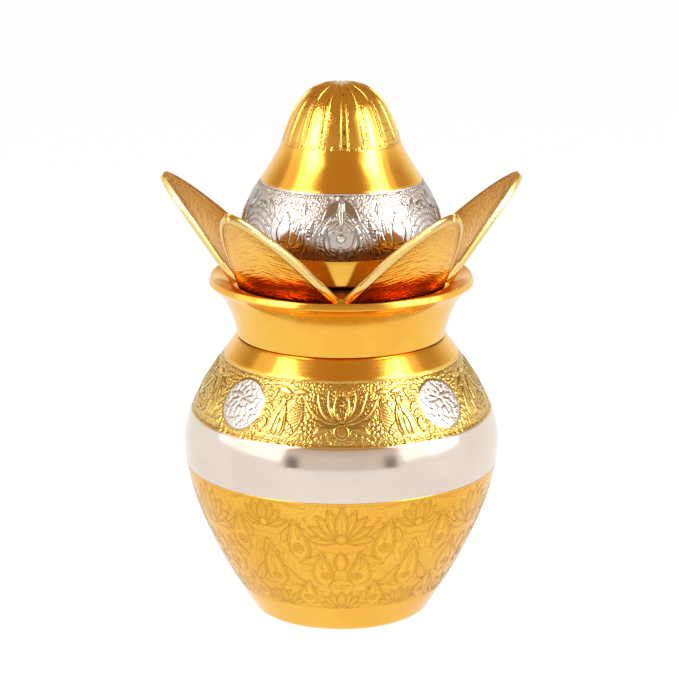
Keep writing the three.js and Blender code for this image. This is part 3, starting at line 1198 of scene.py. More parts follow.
def upper_frieze(relief: Relief, top: float) -> None:
    """Stamps the lotus and paisley ornament of the pot's shoulder.

    Args:
        relief: the laid out band, folded so that x runs from a lotus to a medallion.
        top: height of the band on the flat.
    """
    medallion = Medallion(31.4, top * 0.49)
    relief.ripples(3.4, 0.45, 51)
    shoulder_sprigs(relief, medallion)
    shoulder_lotus(relief)
    shoulder_drops(relief)
    medallion.stamp(relief)
    relief.rule(0.7, 0.9)
    relief.hatch(relief.y - 1.7, relief.x + 0.5 * relief.y, 0.9, 0.0, 0.9, 0.7)
    relief.rule(top - 0.7, 0.8)


def belly_leaves(relief: Relief) -> None:
    """Stamps the hatched leaves that fill the lower belly between its flowers.

    Args:
        relief: the laid out band.
    """
    leaves = (
        (3.4, 12.6, 150, 7.6, 1.5, 0.3), (9.8, 23.0, 70, 9.5, 1.7, -0.2),
        (16.4, 28.6, 118, 8.6, 1.6, 0.2), (18.6, 21.4, 58, 9.0, 1.5, 0.25),
        (7.6, 30.6, 20, 7.6, 1.3, 0.25), (14.8, 13.4, 200, 8.0, 1.5, 0.2),
        (12.2, 11.6, 40, 9.5, 1.5, 0.3), (16.2, 5.4, 150, 6.4, 1.4, -0.2),
        (6.2, 8.2, 12, 8.0, 1.4, 0.3), (4.6, 24.6, -35, 8.4, 1.5, 0.2),
    )
    for x, y, angle, length, width, bend in leaves:
        leaf = relief.petal(x, y, angle, length, width, 0.8, bend)
        relief.stamp(leaf, 0.02)
        relief.hatch(leaf, relief.x * 0.6 + relief.y, 0.95, 0.45, width * 0.9, 0.6)


def belly_mangoes(relief: Relief, edge: float) -> None:
    """Stamps the bent mango shapes with a flower in each.

    Args:
        relief: the laid out band.
        edge: where the ornament folds.
    """
    mangoes = ((4.2, 15.4, 66, 12.4, 3.4, 0.32), (12.4, 25.6, 104, 12.6, 3.2, -0.30),
               (11.0, 4.6, 74, 11.6, 3.2, 0.34), (edge, 13.4, 90, 15.6, 3.6, 0.0))
    for x, y, angle, length, width, bend in mangoes:
        cosine, sine = direction(angle)
        foot = y - 2.4
        mango = relief.petal(x, foot, angle, length, width, 0.62, bend)
        relief.stamp(mango, 0.02, inner=0.7)
        relief.hatch(-mango, relief.x + relief.y, 0.9, 0.15, 0.85, 0.7)
        relief.flower(x + 1.4 * cosine, foot + 4.0 * sine, 1.6, 7)
        heart = relief.petal(x + 2.6 * cosine, foot + 2.4 * sine + 4.0, angle, length * 0.4, 0.5, 1.0, bend)
        relief.groove(heart, 0.7)


def lower_frieze(relief: Relief, top: float) -> None:
    """Stamps the scrolling flowers on the pot's lower belly.

    Args:
        relief: the laid out band, folded so that x runs from a fan flower to a tall bud.
        top: height of the band on the flat.
    """
    edge = 20.9
    fine = {"dome": 0.02, "inner": 0.55}
    relief.ripples(4.6, 0.52, 53)
    belly_leaves(relief)
    relief.petals(((0.0, 19.0, 90, 7.4, 2.0, 0.0),), 0.8, **fine)
    relief.fan(0.0, top - 10.6, [90, 66, 42, 18, -8], 9.6, 1.8, **fine)
    relief.stamp(relief.disc(0.0, top - 10.8, 1.7), 0.03, inner=0.5)
    relief.fan(0.0, 1.4, [90, 62, 34, 8], 8.6, 1.7, **fine)
    belly_mangoes(relief, edge)
    relief.fan(edge, 1.6, [90, 116, 142, 168], 7.8, 1.5, **fine)
    relief.fan(edge, top - 7.0, [90, 118, 146, 174], 6.6, 1.5, **fine)
    relief.stamp(relief.disc(edge, top - 7.0, 1.2), 0.03)
    relief.rule(0.7, 0.7)
    relief.rule(top - 0.7, 0.6)


@dataclass(frozen=True)
class Pot:
    """The pot: one raised body with plated bands, and a flared neck brazed into its mouth.

    Pulls say how far an outline's directions hold at its start and at its end.
    """

    flat_radius: float = 21.5
    foot_radius: float = 25.3
    foot_reach: float = 24.4
    foot_round: float = 2.4
    belly_radius: float = 43.9
    belly_height: float = 49.5
    rise_angle: float = 57.0
    rise_pulls: tuple = (0.36, 0.32)
    seam_radius: float = 29.0
    seam_height: float = 79.4
    shoulder_angle: float = 53.0
    shoulder_pulls: tuple = (0.33, 0.4)
    wall: float = 1.2
    floor: float = 1.6
    foot_top: float = 8.3
    belt_low: float = 43.1
    belt_high: float = 58.3
    frieze_top: float = 74.2
    neck_step: float = 0.1
    neck_gap: float = 0.3
    neck_rise: float = 15.1
    neck_angle: float = 80.0
    neck_pulls: tuple = (0.66, 0.14)
    neck_wall: float = 1.4
    lip_radius: float = 36.8
    lip_angle: float = 21.0
    lip_thickness: float = 2.0
    lip_round: float = 0.55
    lip_share: float = 0.03
    collar_wall: float = 1.2
    collar_depth: float = 2.6
    columns: int = 384

    def outline(self) -> Array:
        """The body's outside, from its flat foot to the seam under the neck.

        Returns:
            The points of the outline.
        """
        foot = bezier([(self.flat_radius, 0.0), (self.foot_reach, 0.0),
                       (self.foot_radius, self.foot_round)], 16)
        belly = np.array([self.belly_radius, self.belly_height])
        rise = sweep(foot[-1], self.rise_angle, belly, 90.0, self.rise_pulls)
        seam = np.array([self.seam_radius, self.seam_height])
        shoulder = sweep(belly, 90.0, seam, 180.0 - self.shoulder_angle, self.shoulder_pulls)
        return np.vstack([foot, rise[1:], shoulder[1:]])

    def foot(self, outline: Array) -> bpy.types.Object:
        """The plain foot of the body with its floor.

        Args:
            outline: the body's outside.

        Returns:
            The new object.
        """
        outer = cut(outline, 0.01, self.foot_top)
        inner = cut(inset(outline, self.wall), self.floor, self.foot_top)[::-1]
        middle = [(0.0, 0.0), (self.flat_radius * 0.5, 0.0), (self.flat_radius, 0.0)]
        end = [(inner[-1][0] - self.wall, self.floor), (0.0, self.floor)]
        profile = np.vstack([middle, even(outer, 46), even(inner, 12), end])
        return turned("pot_foot", profile, self.columns, poles=True)

    def neck_outline(self) -> Array:
        """The outside of the neck, from its foot to the lower edge of its lip.

        Returns:
            The points of the outline.
        """
        start = np.array([self.seam_radius - self.neck_step, self.seam_height + self.neck_gap])
        end = np.array([self.lip_radius, self.seam_height + self.neck_rise])
        return sweep(start, self.neck_angle, end, self.lip_angle, self.neck_pulls)

    def neck_inside(self) -> Array:
        """The inside of the neck, whose wall thickens towards the lip.

        Returns:
            The points of the outline.
        """
        outer = self.neck_outline()
        wall = np.linspace(self.neck_wall, self.lip_thickness, len(outer))[:, None]
        return outer - wall * normals(outer)

    def throat(self) -> float:
        """Radius of the hole through the collar."""
        mouth = inset(self.outline(), self.wall)[-1][0]
        return mouth - self.neck_gap - self.collar_wall

    def neck(self) -> bpy.types.Object:
        """The turned neck with its rounded lip, and the collar that laps inside the body.

        Returns:
            The new object.
        """
        outer, inner = self.neck_outline(), self.neck_inside()
        throat = self.throat()
        collar = throat + self.collar_wall
        foot = outer[0][1]
        low_end = foot - self.collar_depth
        face = inner[-1] - outer[-1]
        face = face / np.linalg.norm(face)
        back = int(len(outer) * self.lip_share) + 1
        low = bezier([outer[-1 - back], outer[-1], outer[-1] + face * self.lip_round], 8)
        high = bezier([inner[-1] - face * self.lip_round, inner[-1], inner[-1 - back]], 8)
        inside = even(inner[20:-1 - back], 30)[::-1]
        profile = np.vstack([
            [(throat, low_end), (collar, low_end), (collar, foot)],
            even(outer[:-back], 48)[:-1], low, high, inside,
            [(throat, foot)],
        ])
        return turned("pot_neck_turned", profile, self.columns)

    def build(self, finishes: Finishes) -> None:
        """Makes the pot's pieces and dresses them.

        Args:
            finishes: the materials.
        """
        outline = self.outline()
        # The lower frieze's painted shade in its engraved lines is weaker; the upper frieze is painted in
        # lighter gold as highlight.
        lower = Frieze("pot_lower_frieze", self.foot_top, self.belt_low, rows=122, columns=768,
                       repeats=6, reference=40.0, ground=0.035, groove=0.110, punch=0.04,
                       pitch=0.95, matt=0.1, cut_shade_share=0.76)
        upper = Frieze("pot_upper_frieze", self.belt_high, self.frieze_top, rows=88, columns=1024,
                       repeats=4, reference=40.0, ground=0.14, groove=0.18, punch=0.14,
                       pitch=0.66, line=0.19, brushed=0.12, painted_highlight=1.0)
        for piece, slot in (
            (self.foot(outline), Slot.GOLD_PLATE),
            (lower.build(outline, self.wall, lower_frieze), Slot.GOLD_ENGRAVED),
            (plain_band("pot_silver_belt", outline, self.belt_low, self.belt_high, self.wall),
             Slot.SILVER_PLATE),
            (upper.build(outline, self.wall, upper_frieze), Slot.GOLD_ENGRAVED),
            (plain_band("pot_shoulder", outline, self.frieze_top, self.seam_height, self.wall),
             Slot.GOLD_PLATE),
        ):
            finishes.dress(piece, slot, Body.POT, "pot_body")
        finishes.dress(self.neck(), Slot.GOLD_PLATE, Body.POT, "pot_neck")


def coconut_whorl(relief: Relief, edge: float) -> None:
    """Cuts the rings of lines round a middle low on the band.

    Args:
        relief: the laid out band.
        edge: where the ornament folds, and the middle of the rings.
    """
    level = 5.0
    for radius in (2.2, 3.9, 5.6, 7.3, 9.0):
        relief.groove(relief.disc(edge, level, radius), 0.9, 1.3)
    reach = np.hypot(relief.x - edge, relief.y - level)
    relief.hatch(relief.disc(edge, level, 9.2), reach, 0.85, 0.2, 7.0, 0.5)


def coconut_lotus(relief: Relief) -> None:
    """Stamps the lotus spray, with its petals' ends hatched.

    Args:
        relief: the laid out band.
    """
    x, y = 15.6, 4.6
    reach = np.hypot(relief.x - x, relief.y - y)
    for angle, length in ((172, 6.0), (8, 6.0), (148, 9.0), (32, 9.0), (122, 9.6), (58, 9.6), (90, 10.0)):
        petal = relief.petal(x, y, angle, length, 2.0, 0.85, (90 - angle) / 900)
        relief.stamp(petal, 0.12)
        end = np.where(reach > 0.6 * length, petal, 1.0)
        relief.hatch(end, relief.x + 0.2 * relief.y, 0.8, 0.1, 2.4, 0.9)
    relief.stamp(relief.disc(x, y - 0.2, 1.7), 0.12)


def coconut_arch(relief: Relief, top: float) -> None:
    """Stamps the pointed arch with the leaves and the bud under it.

    Args:
        relief: the laid out band, folded at the arch's middle.
        top: height of the band on the flat.
    """
    arch = relief.stroke([(0.0, top + 1.0), (2.2, 11.6), (7.6, 12.6), (7.9, -1.0)], 24)
    relief.hatch(1.25 - arch, relief.y + 0.4 * relief.x, 0.95, 0.1, 1.25, 0.9)
    relief.groove(arch - 1.1, 0.9)
    relief.groove(arch - 0.25, 0.9)
    for x, y, angle, length, width in ((0.9, top - 2.2, -62, 7.4, 1.5), (1.2, 1.0, 40, 6.4, 1.2)):
        leaf = relief.petal(x, y, angle, length, width, 0.8, 0.12)
        relief.stamp(leaf, 0.0)
        # Painted reflection: the smooth leaves beside the arch are darkened to grey.
        relief.paint_shade(0.5 * relief.depth * smooth(-leaf, 0.0, 0.15))
    relief.petals(((5.0, 9.0, 128, 6.2, 0.9, 0.2),), 0.8)
    relief.petals(((3.4, 3.4, 78, 7.2, 0.8, 0.2),), 0.8, inner=0.4)
    relief.petals(((0.0, 9.6, 90, 9.4, 0.62, 0.0),), 1.2)
    relief.stamp(relief.disc(0.0, 8.2, 1.1), 0.08)
    relief.petals(((0.0, 0.4, 90, 5.4, 1.3, 0.0),), 0.8, dome=0.06, inner=0.5)


def coconut_frieze(relief: Relief, top: float) -> None:
    """Stamps the arches and lotus sprays round the coconut's belly.

    Args:
        relief: the laid out band, folded so that x runs from an arch to a whorl.
        top: height of the band on the flat.
    """
    relief.ripples(3.0, 0.4, 55)
    coconut_whorl(relief, 27.2)
    relief.petals(((22.0, 2.0, 60, 5.0, 1.0, 0.2), (20.5, 13.0, 40, 6.0, 1.0, 0.2),
                   (24.6, 14.6, 20, 3.2, 1.0, 0.2), (10.0, 13.6, 70, 4.6, 1.0, 0.2),
                   (11.2, 2.2, 110, 4.2, 1.0, 0.2), (8.6, 8.0, 96, 5.0, 1.0, 0.2)), 0.8, inner=0.45)
    coconut_lotus(relief)
    relief.flower(20.6, 17.2, 1.3, 7)
    coconut_arch(relief, top)
    # Matt punched ground towards the bottom, which the finish also darkens as painted shade.
    relief.matte = np.maximum(relief.matte, 1 - smooth(relief.y, 3.0, 6.5))
    relief.rule(0.6, 0.8, 1.2)
    relief.rule(top - 0.5, 0.8)
    relief.hatch(relief.y - (top - 1.6), relief.x, 0.95, -1.0, 0.1, 0.8)


def leaf_grain(relief: Relief, inside: Array, share: Array) -> None:
    """Works the hammered grain that runs across and along a leaf.

    Args:
        relief: the leaf laid out flat.
        inside: 1 within the leaf's margin.
        share: distance from the middle, as a share of half the leaf's width.
    """
    past_mirror, droop = 60.0, 0.35
    x, y = relief.x + past_mirror, relief.y + droop * np.abs(relief.x)
    swell = 1.2 * noise(x, y, 5.0, 37)
    across = noise(x, (y + swell) * 6.0, 3.2, 33) + noise(x, (y + swell) * 4.0, 1.7, 38) - 1.0
    along = noise(share * 40.0 + swell, y, 3.4, 39) - 0.5
    calm = inside * (0.25 + 0.75 * smooth(relief.y, 4.0, 10.0))
    relief.height = relief.height + calm * (0.075 * across + 0.07 * along * smooth(share, 0.2, 0.7))
    # Painted shade in the grain's hollows.
    relief.paint_shade(0.035 * inside * smooth(-across, 0.1, 0.7))
    root = (1 - smooth(relief.y, 3.5, 7.5)) * inside
    cracks = np.abs(noise(x, y, 1.9, 35) - 0.5) + 0.5 * np.abs(noise(x, y, 0.9, 36) - 0.5)
    relief.height = relief.height + 0.05 * root * smooth(cracks, 0.02, 0.22)
    # Painted shade in the cracks at the root.
    relief.paint_shade(0.05 * root * (1 - smooth(cracks, 0.02, 0.06)))


def leaf_veins(relief: Relief, top: float, edge: Array, share: Array) -> None:
    """Works a leaf's smooth margin, its grain, the crackle at its root and its matt tip.

    Args:
        relief: the leaf laid out flat, x across from its midrib and y up from its root.
        top: length of the leaf.
        edge: distance inward from the leaf's edge.
        share: distance from the middle, as a share of half the leaf's width.
    """
    inside = smooth(edge, 1.25, 1.5) * smooth(relief.y, 1.2, 1.6)
    relief.height = 0.02 - 0.05 * inside
    relief.groove(edge - 1.3, 0.9, 1.1)
    relief.groove(edge - 2.0, 0.5)
    leaf_grain(relief, inside, share)
    relief.matte = smooth(relief.y + 5.0 * share, top * 0.62, top * 0.82) * inside
    border = np.where(relief.y > 0.55 * top, -edge, 1.0)
    relief.hatch(border, relief.y - 0.7 * np.abs(relief.x), 0.75, 0.3, 1.15, 0.45)


@dataclass(frozen=True)
class Crown:
    """The lid's dish with its five leaves, and the washer and nut under it."""

    seat_height: float = 87.8
    seat_radius: float = 29.34
    floor_height: float = 90.0
    rim_radius: float = 30.835
    rim_height: float = 95.0
    wall: float = 2.2
    floor_round: float = 2.75
    pad_radius: float = 13.0
    pad_top: float = 93.8
    hole: float = 3.3
    spigot_radius: float = 25.94
    spigot_wall: float = 1.4
    spigot_foot: float = 81.2
    dish_columns: int = 288
    front_turn: float = 34.5
    side_turn: float = 107.0
    reach: float = 21.9
    rise: float = 25.1
    flare: float = 1.5
    web: float = 3.2
    tip_half: float = 0.9
    taper: float = 0.6
    flattening: float = 1.15
    braze: float = 0.3
    overlap: float = 0.1
    bevel: float = 0.28
    chamfer: float = 0.75
    chamfer_depth: float = 0.7
    inner_share: float = 0.75
    inner_matte: float = 0.7
    # Share of silver painted as highlight on the leaves' edges.
    edge_highlight_silver: float = 0.10
    columns: int = 171
    rows: int = 200
    washer_radius: float = 7.4
    washer_low: float = 90.3
    washer_high: float = 91.3
    nut_low: float = 85.0
    nut_high: float = 90.0
    nut_chamfer: float = 0.4
    nut_cone: float = 1.8
    across_flats: float = 10.0

    def turns(self) -> dict:
        """The leaves' names and places round the dish."""
        return {
            "leaf_front_left": -self.front_turn,
            "leaf_front_right": self.front_turn,
            "leaf_left": -self.side_turn,
            "leaf_right": self.side_turn,
            "leaf_back": 180.0,
        }

    def lean(self) -> Array:
        """The step from a leaf's root to the point that it leaves towards.

        Returns:
            The step.
        """
        chord = np.array([self.reach, self.rise])
        outward = np.array([self.rise, -self.reach]) / np.linalg.norm(chord)
        return chord / 2 - 2 * self.flare * outward

    def upward(self) -> Array:
        """The direction in which the dish's rim and the leaves' roots rise."""
        return self.lean() / np.linalg.norm(self.lean())

    def dish(self) -> bpy.types.Object:
        """The dish with its seat, spigot, pad and upturned rim.

        Returns:
            The new object.
        """
        up = self.upward()
        rim_inner = np.array([self.rim_radius, self.rim_height]) + np.array([-up[1], up[0]]) * self.wall
        seat, floor, edge, rim_edge = self.seat_height, self.floor_height, 0.3, 0.25
        underside = self.pad_top - self.wall
        bore = self.spigot_radius - self.spigot_wall
        corners = [
            (self.hole, underside, 0), (self.pad_radius - self.wall, underside, 0.5),
            (self.pad_radius - self.wall, seat, edge), (bore, seat, edge),
            (bore, self.spigot_foot, edge), (self.spigot_radius, self.spigot_foot, edge),
            (self.spigot_radius, seat, edge), (self.seat_radius, seat, edge),
            (self.rim_radius, self.rim_height, rim_edge), (rim_inner[0], rim_inner[1], rim_edge),
            (self.seat_radius - self.wall, floor, self.floor_round), (self.pad_radius, floor, 1.0),
            (self.pad_radius, self.pad_top, 0.4), (self.hole, self.pad_top, 0),
        ]
        return turned("lid_dish_turned", rounded(corners, 7), self.dish_columns)

    def leaf_middle(self) -> tuple[Array, Array]:
        """A leaf's middle line from its root to its tip, and the direction along it.

        Returns:
            The points of the line and a unit vector at each.
        """
        up = self.upward()
        root = np.array([self.rim_radius, self.rim_height]) + self.braze * up
        tip = root + np.array([self.reach, self.rise])
        middle = bezier([root, root + self.lean(), tip], self.rows - 1)
        slope = np.gradient(middle, axis=0)
        slope /= np.linalg.norm(slope, axis=1, keepdims=True)
        middle[0] -= (self.braze + self.overlap) * up
        return middle, slope

    def leaf_half(self, share: Array) -> Array:
        """Half of a leaf's width at shares of its length.

        Args:
            share: the shares, 0 at its root.

        Returns:
            The half widths.
        """
        web_angle = math.asin(self.web / 2 / self.rim_radius)
        root_half = self.rim_radius * math.sin(math.radians(self.front_turn) - web_angle)
        tip_share = 1 - (self.tip_half / root_half) ** (1 / self.taper)
        return root_half * (1 - share * tip_share) ** self.taper

    def leaf_fields(self, relief: Relief, across: Array) -> dict:
        """The fields of a leaf's finish.

        Args:
            relief: the leaf's worked face.
            across: places across it, from -1 to 1.

        Returns:
            A value for each row and column of the plate, by name.
        """
        def padded(values: Array, inner: Array, rim: float) -> Array:
            """A field of the outer face, the edges and the inner face."""
            edges = np.full((self.rows, 2), rim)
            return np.pad(np.hstack([values, edges, inner[:, ::-1], edges]), ((1, 1), (0, 0)))

        # Painted highlight on the leaf's edges: lighter gold with a little silver.
        painted_edge_highlight = np.tile(smooth(np.abs(across), 0.99, 1.0), (self.rows, 1))
        painted_edge_silver = painted_edge_highlight * self.edge_highlight_silver
        return {
            "matte": padded(relief.matte, np.maximum(relief.matte, self.inner_matte), 0.0),
            "cut": padded(relief.cut, relief.cut, 0.0),
            "painted_highlight": padded(painted_edge_highlight, painted_edge_highlight, 1.0),
            "silver": padded(painted_edge_silver, painted_edge_silver, self.edge_highlight_silver),
        }

    def leaf(self, name: str, turn: float) -> bpy.types.Object:
        """One leaf: a flared plate with a relief of veins on its faces.

        Args:
            name: the leaf's name in the frame.
            turn: its place round the dish, in degrees.

        Returns:
            The new object.
        """
        middle, slope = self.leaf_middle()
        share = np.linspace(0.0, 1.0, self.rows)[:, None]
        half = self.leaf_half(share)
        length = arc_lengths(middle)[:, None]
        slant = 1 / np.hypot(1, np.gradient(half[:, 0], length[:, 0]))[:, None]
        bevel = np.minimum(self.bevel, half * 0.3)
        chamfer = np.minimum(self.chamfer, half * 0.35)
        across = np.linspace(-1.0, 1.0, self.columns)
        face = across * (half - chamfer)
        back = across[::-1] * (half - bevel)
        relief = Relief(face, length, ground=0.05, groove=0.12, line=0.17)
        tip = length[-1, 0]
        leaf_veins(relief, tip, (half - np.abs(face)) * slant, np.abs(across) + 0 * face)
        relief.stipple(pitch=0.62, depth=0.09, seed=31, smooth_share=0.12)
        height = relief.height * plateau(length, 0.2, 0.9, tip - 2.5, tip - 1.0)
        low, high = self.chamfer_depth * chamfer, self.wall - bevel
        inner = self.wall + self.inner_share * height[:, ::-1]
        aside = np.hstack([face, half, half, back, -half, -half])
        depth = np.hstack([-height, low, high, inner, high, low])
        sag = self.rim_radius - np.sqrt(self.rim_radius**2 - aside**2)
        radius = middle[:, :1] - (1 - self.flattening * share) * sag - slope[:, 1:] * depth
        places = np.stack([aside, -radius, middle[:, 1:] + slope[:, :1] * depth], axis=-1)
        ends = [places[index].mean(axis=0) * np.ones_like(places[index]) for index in (0, -1)]
        cosine, sine = direction(turn)
        spin = np.array([[cosine, -sine, 0], [sine, cosine, 0], [0, 0, 1]])
        places = np.concatenate([ends[:1], places, ends[1:]]) @ spin.T
        piece = closed_grid(name + "_plate", places, True, self.leaf_fields(relief, across))
        crease(piece, 50.0)
        return piece

    def washer(self) -> bpy.types.Object:
        """The flat washer under the pad."""
        return turned_ring("stud_washer_turned", self.hole, self.washer_radius, self.washer_low,
                           self.washer_high, 0.25, 96)

    def nut(self) -> bpy.types.Object:
        """The hexagon nut, its corners chamfered at both ends.

        Returns:
            The new object.
        """
        flat, wide = self.across_flats / 2, self.hole + self.nut_chamfer
        columns, sixth = 144, FULL_TURN / 6
        angle = FULL_TURN * np.arange(columns) / columns + QUARTER_TURN
        hexagon = flat / np.cos((angle + sixth / 2) % sixth - sixth / 2)
        levels = np.linspace(self.nut_low, self.nut_high, 21)
        depth = np.minimum(levels - self.nut_low, self.nut_high - levels)
        outer = np.minimum(hexagon, (flat + 0.05 + depth * self.nut_cone)[:, None])
        outer = np.stack([outer, levels[:, None] + 0 * outer], axis=-1)
        bore = [(wide, self.nut_high), (self.hole, self.nut_high - self.nut_chamfer),
                (self.hole, self.nut_low + self.nut_chamfer), (wide, self.nut_low)]
        return turned("stud_nut_turned", np.concatenate([outer, spun(bore, columns)]), columns)

    def build(self, finishes: Finishes) -> None:
        """Makes the crown's pieces and dresses them.

        Args:
            finishes: the materials.
        """
        finishes.dress(self.dish(), Slot.GOLD_PLATE, Body.CROWN, "lid_dish")
        for name, turn in self.turns().items():
            finishes.dress(self.leaf(name, turn), Slot.GOLD_ENGRAVED, Body.CROWN, name)
        finishes.dress(self.washer(), Slot.BARE_BRASS, Body.CROWN, "stud_washer")
        finishes.dress(self.nut(), Slot.BARE_BRASS, Body.CROWN, "stud_nut")


@dataclass(frozen=True)
class Coconut:
    """The hollow coconut on the lid, and the boss and stud that it turns on.

    Pulls say how far an outline's directions hold at its start and at its end.
    """

    foot: float = 98.15
    foot_radius: float = 24.5
    stem_radius: float = 24.0
    stem_top: float = 105.05
    stem_columns: int = 384
    underside_angle: float = 46.0
    underside_pulls: tuple = (0.45, 0.34)
    belly_radius: float = 27.5
    belly_height: float = 110.6
    seam: float = 123.2
    seam_gap: float = 0.04
    waist_radius: float = 16.3
    waist_height: float = 133.7
    waist_angle: float = 111.0
    waist_pulls: tuple = (0.33, 0.36)
    top: float = 149.8
    dome_pulls: tuple = (0.62, 0.67)
    wall: float = 1.2
    ribs: int = 16
    rib_turn: float = 3.0
    rib_height: float = 0.32
    channel_edge: float = 0.36
    channel_depth: float = 0.12
    sunk: float = 0.06
    # Share of lighter gold painted as highlight on the dome.
    painted_highlight_share: float = 0.3
    columns: int = 720
    hole: float = 3.3
    boss_radius: float = 9.0
    boss_low: float = 94.1
    boss_high: float = 97.85
    stud_radius: float = 3.0
    stud_tail: float = 83.5
    head_radius: float = 5.4
    head_low: float = 99.65
    head_high: float = 101.85
    head_round: float = 0.6
    thread_pitch: float = 1.0
    thread_depth: float = 0.42
    thread_top: float = 91.6
    tail_chamfer: float = 0.6

    def outline(self) -> Array:
        """The outside from the upright foot to the waist.

        Returns:
            The points of the outline.
        """
        stem = np.array([self.stem_radius, self.stem_top])
        belly = np.array([self.belly_radius, self.belly_height])
        waist = np.array([self.waist_radius, self.waist_height])
        low = sweep(stem, self.underside_angle, belly, 90.0, self.underside_pulls)
        high = sweep(belly, 90.0, waist, self.waist_angle, self.waist_pulls)
        return np.vstack([low, high[1:]])

    def dome_outline(self) -> Array:
        """The outside of the dome from the waist to its top."""
        waist = np.array([self.waist_radius, self.waist_height])
        return sweep(waist, self.waist_angle, np.array([0.0, self.top]), 180.0, self.dome_pulls)

    def stem(self) -> bpy.types.Object:
        """The polished upright foot with its floor.

        Returns:
            The new object.
        """
        floor, edge = self.foot + self.wall, 0.35
        top = self.stem_top - 0.02
        corners = [
            (self.hole, self.foot, 0), (self.foot_radius, self.foot, edge),
            (self.stem_radius + 0.02, self.stem_top - 0.9, 1.2), (self.stem_radius - 0.12, top, 0.1),
            (self.stem_radius - self.wall, top, 0), (self.foot_radius - self.wall, floor, edge),
            (self.hole, floor, 0),
        ]
        return turned("coconut_stem", rounded(corners, 7), self.stem_columns)

    def flutes(self, outer: Array) -> tuple[Array, dict]:
        """The dome's ribs, which run together at its top, the matt patches between them, and painted shade
        beside the ribs, in their channels, on the patches and towards the top.

        Args:
            outer: the dome's rows of radius and height.

        Returns:
            How far the metal stands out at each row and column, and the fields of its finish.
        """
        pitch = FULL_TURN / self.ribs
        angle = FULL_TURN * np.arange(self.columns) / self.columns
        aside = (angle - math.radians(self.rib_turn) + pitch / 2) % pitch - pitch / 2
        radius, along = outer[:, :1], arc_lengths(outer)[:, None]
        away = np.abs(aside) * radius
        size = radius / self.waist_radius
        half = 0.22 + 0.76 * size
        span = math.pi * self.waist_radius
        across = angle / FULL_TURN * span + 0 * along
        rough = noise(across, along, 0.55, 41, span)
        ragged = 0.7 * noise(across, 0 * across, 1.1, 43, span)
        started = smooth(along, ragged, ragged + 0.4)
        fade = smooth(size, 0.06, 0.35)
        rib = 1 - smooth(away, half - 0.20, half + 0.10)
        channel = np.exp(-(away / np.maximum(half - self.channel_edge, 0.05)) ** 4)
        channel = channel * smooth(size, 0.12, 0.4)
        beside = plateau(away, half, half + 0.18, half + 0.25, half + 0.5)
        height = rib * (self.rib_height - channel * (self.channel_depth + 0.05 * rough))
        height = height - beside * (0.03 + 0.03 * rough)
        height = height * (0.35 + 0.65 * smooth(along, 0.5, 4.0)) * fade * started - self.sunk * started
        lip = (1 - smooth(along, 0.9, 1.6)) * smooth(rough, 0.35, 0.7)
        patches = smooth(noise(across, along, 4.4, 45, span), 0.64, 0.74) * 0.6 * (1 - rib)
        # Painted shade beside and in the ribs, on the matt patches and towards the top.
        painted_cut_shade = beside * fade * (0.2 + 0.3 * rough) + channel * rib * smooth(rough, 0.6, 0.9)
        painted_cut_shade = painted_cut_shade + patches * smooth(rough, 0.6, 0.85) + 0.4 * (1 - smooth(size, 0.04, 0.3))
        return np.minimum(height, 0.8 * (self.top - outer[:, 1:])), {
            "matte": np.clip(beside + lip + channel * rib + patches, 0, 1) * fade,
            "painted_highlight": np.full(height.shape, self.painted_highlight_share),
            "cut": np.clip(painted_cut_shade, 0, 1),
        }

    def dome(self) -> bpy.types.Object:
        """The fluted dome.

        Returns:
            The new object.
        """
        outline = self.dome_outline()
        outer = even(outline, 108)
        inner = inset(even(outline, 20), self.wall)
        inner = inner[inner[:, 1] < self.top - self.wall - 0.05][::-1]
        inner = np.vstack([[(0.0, self.top - self.wall)], inner])
        height, fields = self.flutes(outer)
        front = raised(outer, height)
        front[-1] = outer[-1]
        fields = {key: np.pad(each, ((len(inner), 0), (0, 0))) for key, each in fields.items()}
        profile = np.concatenate([spun(inner, self.columns), front])
        piece = turned("coconut_dome", profile, self.columns, poles=True, fields=fields, crisp=False)
        crease(piece, 60.0)
        return piece

    def boss(self) -> bpy.types.Object:
        """The disc between the coconut and the dish's pad."""
        return turned_ring("coconut_boss_turned", self.hole, self.boss_radius, self.boss_low,
                           self.boss_high, 0.35, 128)

    def stud(self) -> bpy.types.Object:
        """The stud, with its round head inside the coconut and a thread on its shank.

        Returns:
            The new object.
        """
        columns, fade_length = 96, 0.4
        angle = np.arange(columns) / columns
        start = self.stud_tail + self.tail_chamfer
        levels = np.linspace(start, self.head_low, 140)[:, None]
        turns = (levels / self.thread_pitch - angle) % 1.0
        fade = plateau(levels, start, start + fade_length, self.thread_top, self.thread_top + fade_length)
        cut_in = self.thread_depth * np.abs(2 * turns - 1) * fade
        shank = np.stack([self.stud_radius - cut_in, levels + 0 * cut_in], axis=-1)
        tail = [(0.0, self.stud_tail), (self.stud_radius - self.tail_chamfer, self.stud_tail)]
        head = rounded([
            (self.stud_radius, self.head_low, 0), (self.head_radius, self.head_low, 0.3),
            (self.head_radius, self.head_high, self.head_round), (0.0, self.head_high, 0),
        ])
        profile = np.concatenate([spun(tail, columns), shank, spun(head, columns)])
        return turned("lid_stud_turned", profile, columns, poles=True)

